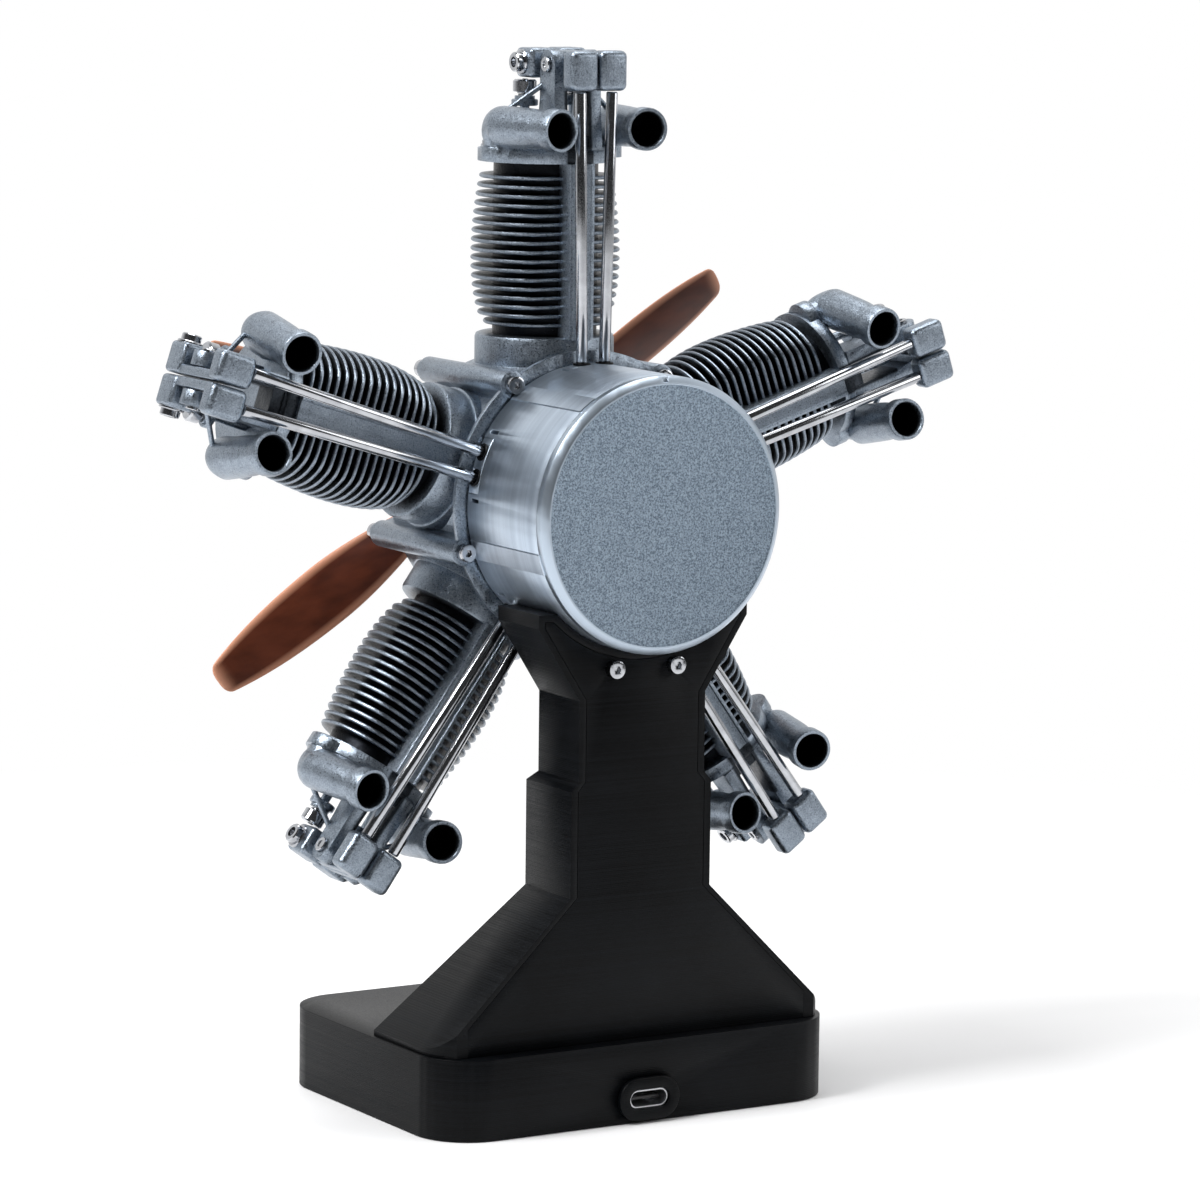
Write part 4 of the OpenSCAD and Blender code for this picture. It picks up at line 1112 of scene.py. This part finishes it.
@dataclass
class ValveGear(Assembly):
    """Rockers with rounded edges, their pivot pins, and a cap and a seat ring under each front end."""

    wall: tuple[float, float] = (0.2, 2.3)
    wall_behind: tuple[float, float] = (0.4, 20.6)
    outer: float = 7.0
    front: tuple[float, float] = (-1.6, 5.3)
    rear: tuple[float, float] = (17.8, 22.6)
    arm: tuple[float, float] = (90.3, 96.7)
    rear_foot: float = 88.1
    pivot: tuple[float, float, float] = (10.0, 93.4, 1.05)
    pin_profile: Profile = ((0.95, 0.25), (0.95, 6.05), (1.65, 6.05), (1.65, 6.4), (1.5, 6.55), (0.8, 6.55),
                            (0.75, 6.3), (0.02, 6.25), (0.02, 0.25))
    cap_profile: Profile = ((2.3, 87.2), (2.5, 87.2), (2.6, 87.3), (2.6, 89.5), (2.2, 89.88), (0.65, 89.88),
                            (0.65, 89.65), (2.3, 89.65))
    seat_profile: Profile = ((1.0, 84.2), (2.7, 84.2), (2.9, 84.4), (2.9, 85.4), (2.7, 85.6), (2.25, 85.6),
                             (2.25, 85.3), (1.0, 85.3))

    def rocker(self, name: str, place: Matrix) -> None:
        """Build one rocker: a block over the valve, one over the pushrod and a wall between them.

        Args:
            name: Number and letter of the rocker.
            place: Frame of its half of the head, with x away from the middle.
        """
        low, top = self.arm
        blocks = ((self.front, (low, top), self.outer, 1.0, ()),
                  (self.rear, (self.rear_foot, top), self.outer, 1.35, ()),
                  (self.wall_behind, (low + 0.1, top - 0.4), self.wall[1], 0.4, self.pivot))
        draft = Draft(f"rocker_body_{name}")
        for behind, out, side, soft, bore in blocks:
            draft.block(Vector((self.wall[0], behind[0], out[0])), Vector((side, behind[1], out[1])), soft,
                        place, bore)
        draft.finish(self.finishes, Slot.CAST, f"rocker_{name}", [f"rocker_{name}"], 50.0)

    def build(self) -> None:
        """Build the ten rockers, caps, pivot pins and seat rings."""
        seats, pins = Draft("valve_seat_rings"), Draft("pivot_pins")
        pin_place = (Matrix.Translation((0, self.pivot[0] * MM, self.pivot[1] * MM))
                     @ Matrix.Rotation(math.pi / 2, 4, "Y"))
        for index, side, name in each_valve():
            place = cylinder_place(index) @ Matrix.Diagonal((side, 1, 1, 1))
            self.rocker(name, place)
            pins.turn(self.pin_profile, place @ pin_place, 28, closed=True)
            valve = cylinder_place(index, side * VALVE_ACROSS, VALVE_BEHIND)
            cap = Draft(f"valve_cap_{name}")
            cap.turn(self.cap_profile, valve, 40, closed=True)
            cap.finish(self.finishes, Slot.POLISHED, f"valve_{name}")
            seats.turn(self.seat_profile, valve, 40, closed=True)
        seats.finish(self.finishes, Slot.CAST)
        pins.finish(self.finishes, Slot.POLISHED, replaces=["rocker_screws"])


@dataclass
class Elbows(Assembly):
    """Elbow pipes: a leaning foot, a tight dome, a neck, a collar at the mouth and painted shade in the bore.
    """

    foot: tuple[float, float] = (12.6, 2.6)
    dome: tuple[float, float] = (13.9, 5.6)
    mouth: tuple[float, float] = (10.7, 24.6)
    out: float = 79.98
    bend: float = 3.0
    bend_steps: int = 8
    foot_out: float = 74.6
    foot_radius: float = 4.0
    bend_radius: tuple[float, float] = (4.1, 0.4)
    neck: Profile = ((0.2, 4.45), (0.4, 4.38), (0.55, 4.28), (0.68, 4.02), (0.76, 3.9), (0.815, 3.92),
                     (0.82, 4.4), (0.835, 4.65), (0.98, 4.65), (1.0, 4.5), (1.0, 3.92))
    bore: float = 3.72
    sides: int = 40

    def stations(self) -> list[tuple[Vector, float, float, float]]:
        """Rings along the pipe: centre in millimetres, lean in radians, radius and painted shade."""
        rings = [(Vector((*self.foot, self.foot_out)), 0.0, self.foot_radius, 0.0)]
        start, low = Vector((*self.dome, self.out)), self.out - self.bend
        for k in range(self.bend_steps + 1):
            share = k / self.bend_steps
            a = math.pi / 2 * share
            across = self.foot[0] + (start.x - self.foot[0]) * share ** 0.7
            centre = Vector((across, start.y - self.bend * math.cos(a), low + self.bend * math.sin(a)))
            rings.append((centre, a, self.bend_radius[0] + self.bend_radius[1] * math.sin(a), 0.0))
        run = Vector((*self.mouth, self.out)) - start
        outside = [(share, radius, 0.0) for share, radius in self.neck]
        # Painted shade inside the bore at the mouth, kept in the deep attribute.
        inside = [(share, self.bore, deep) for share, deep in ((0.985, 0.3), (0.9, 1.0), (0.3, 1.0))]
        for share, radius, deep in outside + inside:
            rings.append((start + run * share, math.pi / 2, radius, deep))
        return rings

    def build(self) -> None:
        """Build the ten pipes."""
        draft = Draft("elbow_pipes")
        splay = math.atan2(self.mouth[0] - self.dome[0], self.mouth[1] - self.dome[1])
        flat = Vector((math.cos(splay), -math.sin(splay), 0))
        behind = Vector((math.sin(splay), math.cos(splay), 0))
        for index, side, _ in each_valve():
            place = cylinder_place(index) @ Matrix.Diagonal((side, 1, 1, 1))
            rings = []
            for centre, lean, radius, deep in self.stations():
                rise = (behind * math.sin(lean) + UP * math.cos(lean)).cross(flat)
                rings.append(draft.hoop(place, centre, flat * radius, rise * radius, self.sides, [deep]))
            draft.skin(rings)
        draft.finish(self.finishes, Slot.CAST, replaces=["port_elbows"], smooth=40.0)


@dataclass
class DrumTrim(Assembly):
    """Seal rings where the pushrods enter the cam drum, lands along it, and the nose cover's screws."""

    drum_radius: float = 29.7
    rod_behind: float = 20.8
    rod_across: float = 2.83
    seal_profile: Profile = ((1.32, 0.0), (1.95, 0.0), (1.95, 0.28), (1.8, 0.4), (1.45, 0.4), (1.32, 0.3))
    nose_face: float = -20.2
    nose_circle: float = 15.6
    nose_screws: int = 6
    screw_profile: Profile = ((1.4, -0.6), (1.4, 0.9), (1.25, 1.1), (0.75, 1.1), (0.7, 0.4), (0.02, 0.35))
    land_angles: Sequence[float] = (36.0, 108.0, 252.0, 324.0)
    land_behind: tuple[float, float] = (19.0, 48.0)
    land_height: float = 0.22
    land_lean: float = 4.6
    land_edge: float = 0.4

    def lands(self) -> None:
        """Build the low flat lands along the drum, in line with the crankcase screws."""
        draft = Draft("drum_lands")
        low, high = self.drum_radius - 0.3, self.drum_radius + self.land_height
        start, end = self.land_behind
        flat = self.land_lean - self.land_edge
        leans = [(k * flat / 2, high) for k in range(-2, 3)]
        leans = [(-self.land_lean, low + 0.31), *leans, (self.land_lean, low + 0.31)]
        for middle in self.land_angles:
            rings = []
            for lean, top in leans:
                away = Matrix.Rotation(math.radians(middle + lean), 3, "Y") @ UP
                rings.append(draft.ring([
                    (away * reach + Vector((0, behind, 0))) * MM + UP * AXIS_H
                    for reach, behind in ((low, start), (top, start), (top, end - 0.3), (low, end))]))
            draft.skin(rings)
        draft.finish(self.finishes, Slot.BRUSHED, smooth=20.0)

    def build(self) -> None:
        """Build the lands, rings and screws."""
        self.lands()
        seals = Draft("pushrod_seals")
        for index, side, _ in each_valve():
            place = cylinder_place(index, side * self.rod_across, self.rod_behind, self.drum_radius - 0.2)
            seals.turn(self.seal_profile, place, closed=True)
        seals.finish(self.finishes, Slot.STAND)
        screws = Draft("nose_cover_screws")
        for k in range(self.nose_screws):
            a = 2 * math.pi * (k + 0.5) / self.nose_screws
            x, z = self.nose_circle * math.cos(a), self.nose_circle * math.sin(a)
            place = Matrix.Translation(Vector((x, self.nose_face, z)) * MM + UP * AXIS_H)
            screws.turn(self.screw_profile, place @ Matrix.Rotation(math.pi / 2, 4, "X"), 24)
        screws.finish(self.finishes, Slot.POLISHED)


@dataclass
class FootCorners(Assembly):
    """Two small corners that close the column's recess beside the foot of its back plate."""

    centre: tuple[float, float] = (37.5, 34.3)
    inner: float = 9.95
    outer: float = 11.5
    behind: tuple[float, float] = (41.35, 43.0)
    foot: float = 17.5
    edge_start: tuple[float, float] = (47.4, 18.7)
    edge_slope: float = 1.0227
    steps: int = 6

    def build(self) -> None:
        """Build the two corners."""
        draft = Draft("column_foot_corners")
        for side in (-1, 1):
            rings = []
            for k in range(self.steps + 1):
                y = self.behind[0] + (self.behind[1] - self.behind[0]) * k / self.steps
                near, far = (self.centre[0] + math.sqrt(reach ** 2 - (y - self.centre[1]) ** 2)
                             for reach in (self.inner, self.outer))
                tops = [self.edge_start[1] + (self.edge_start[0] - x) / self.edge_slope for x in (near, far)]
                rings.append(draft.ring([
                    Vector((side * x, y, z)) * MM
                    for x, z in ((near, self.foot), (far, self.foot), (far, tops[1]), (near, tops[0]))]))
            draft.skin(rings)
        draft.finish(self.finishes, Slot.STAND)


@dataclass
class CarriedNodes(Assembly):
    """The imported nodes, each with its finish and softened edges."""

    frame: dict
    edge: dict[str, float] = field(default_factory=lambda: {
        "base_tray": 0.8, "stand_column": 0.5, "column_back_plate": 0.2, "base_cover": 0.3,
        "crankcase": 0.35, "nose_cover": 0.3, "heads": 0.3, "cam_drum": 0.15, "port_bezel": 0.35,
        "drum_cap": 0.12, "pushrod": 0.1})
    plain_edge: float = 0.18
    sharp_from: float = 32.0

    def build(self) -> None:
        """Give every node its material, smooth shading and bevelled edges."""
        slots = {part["node"]: part["material_slot"] for part in self.frame["record"]["subparts"]}
        for name, item in self.frame["nodes"].items():
            item.data.materials.clear()
            item.data.materials.append(self.finishes[Slot(slots[name])])
            self.soften(item, self.edge.get(name, self.edge.get(name.split("_")[0], self.plain_edge)) * MM)
        LOG.info("dressed %d carried nodes", len(slots))

    def soften(self, item: bpy.types.Object, width: float) -> None:
        """Weld a node's faces and bevel its sharp edges, with modifiers only.

        Args:
            item: The node's object.
            width: Width of the bevel in metres.
        """
        item.modifiers.new("weld", "WELD").merge_threshold = 1e-6
        bevel = item.modifiers.new("edge", "BEVEL")
        bevel.width = width
        bevel.segments = 2
        bevel.limit_method = "ANGLE"
        bevel.angle_limit = math.radians(self.sharp_from)
        bevel.use_clamp_overlap = True
        bevel.harden_normals = True
        for polygon in item.data.polygons:
            polygon.use_smooth = True


def build(frame: dict) -> None:
    """Set up the studio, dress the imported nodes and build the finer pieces.
    """
    Studio().build()
    finishes = Finishes()
    CarriedNodes(finishes, frame).build()
    Propeller(finishes, "rear_propeller", -22.6, 156.5).build()
    Propeller(finishes, "front_propeller", -28.0, 33.5).build()
    for assembly in (FinnedCylinders, ValveSprings, HeadTrim, ValveGear, Elbows, DrumTrim, FootCorners):
        assembly(finishes).build()


def main() -> None:
    logging.basicConfig(level=logging.INFO, format="%(message)s")
    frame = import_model()
    build(frame)


if __name__ == "__main__":
    main()
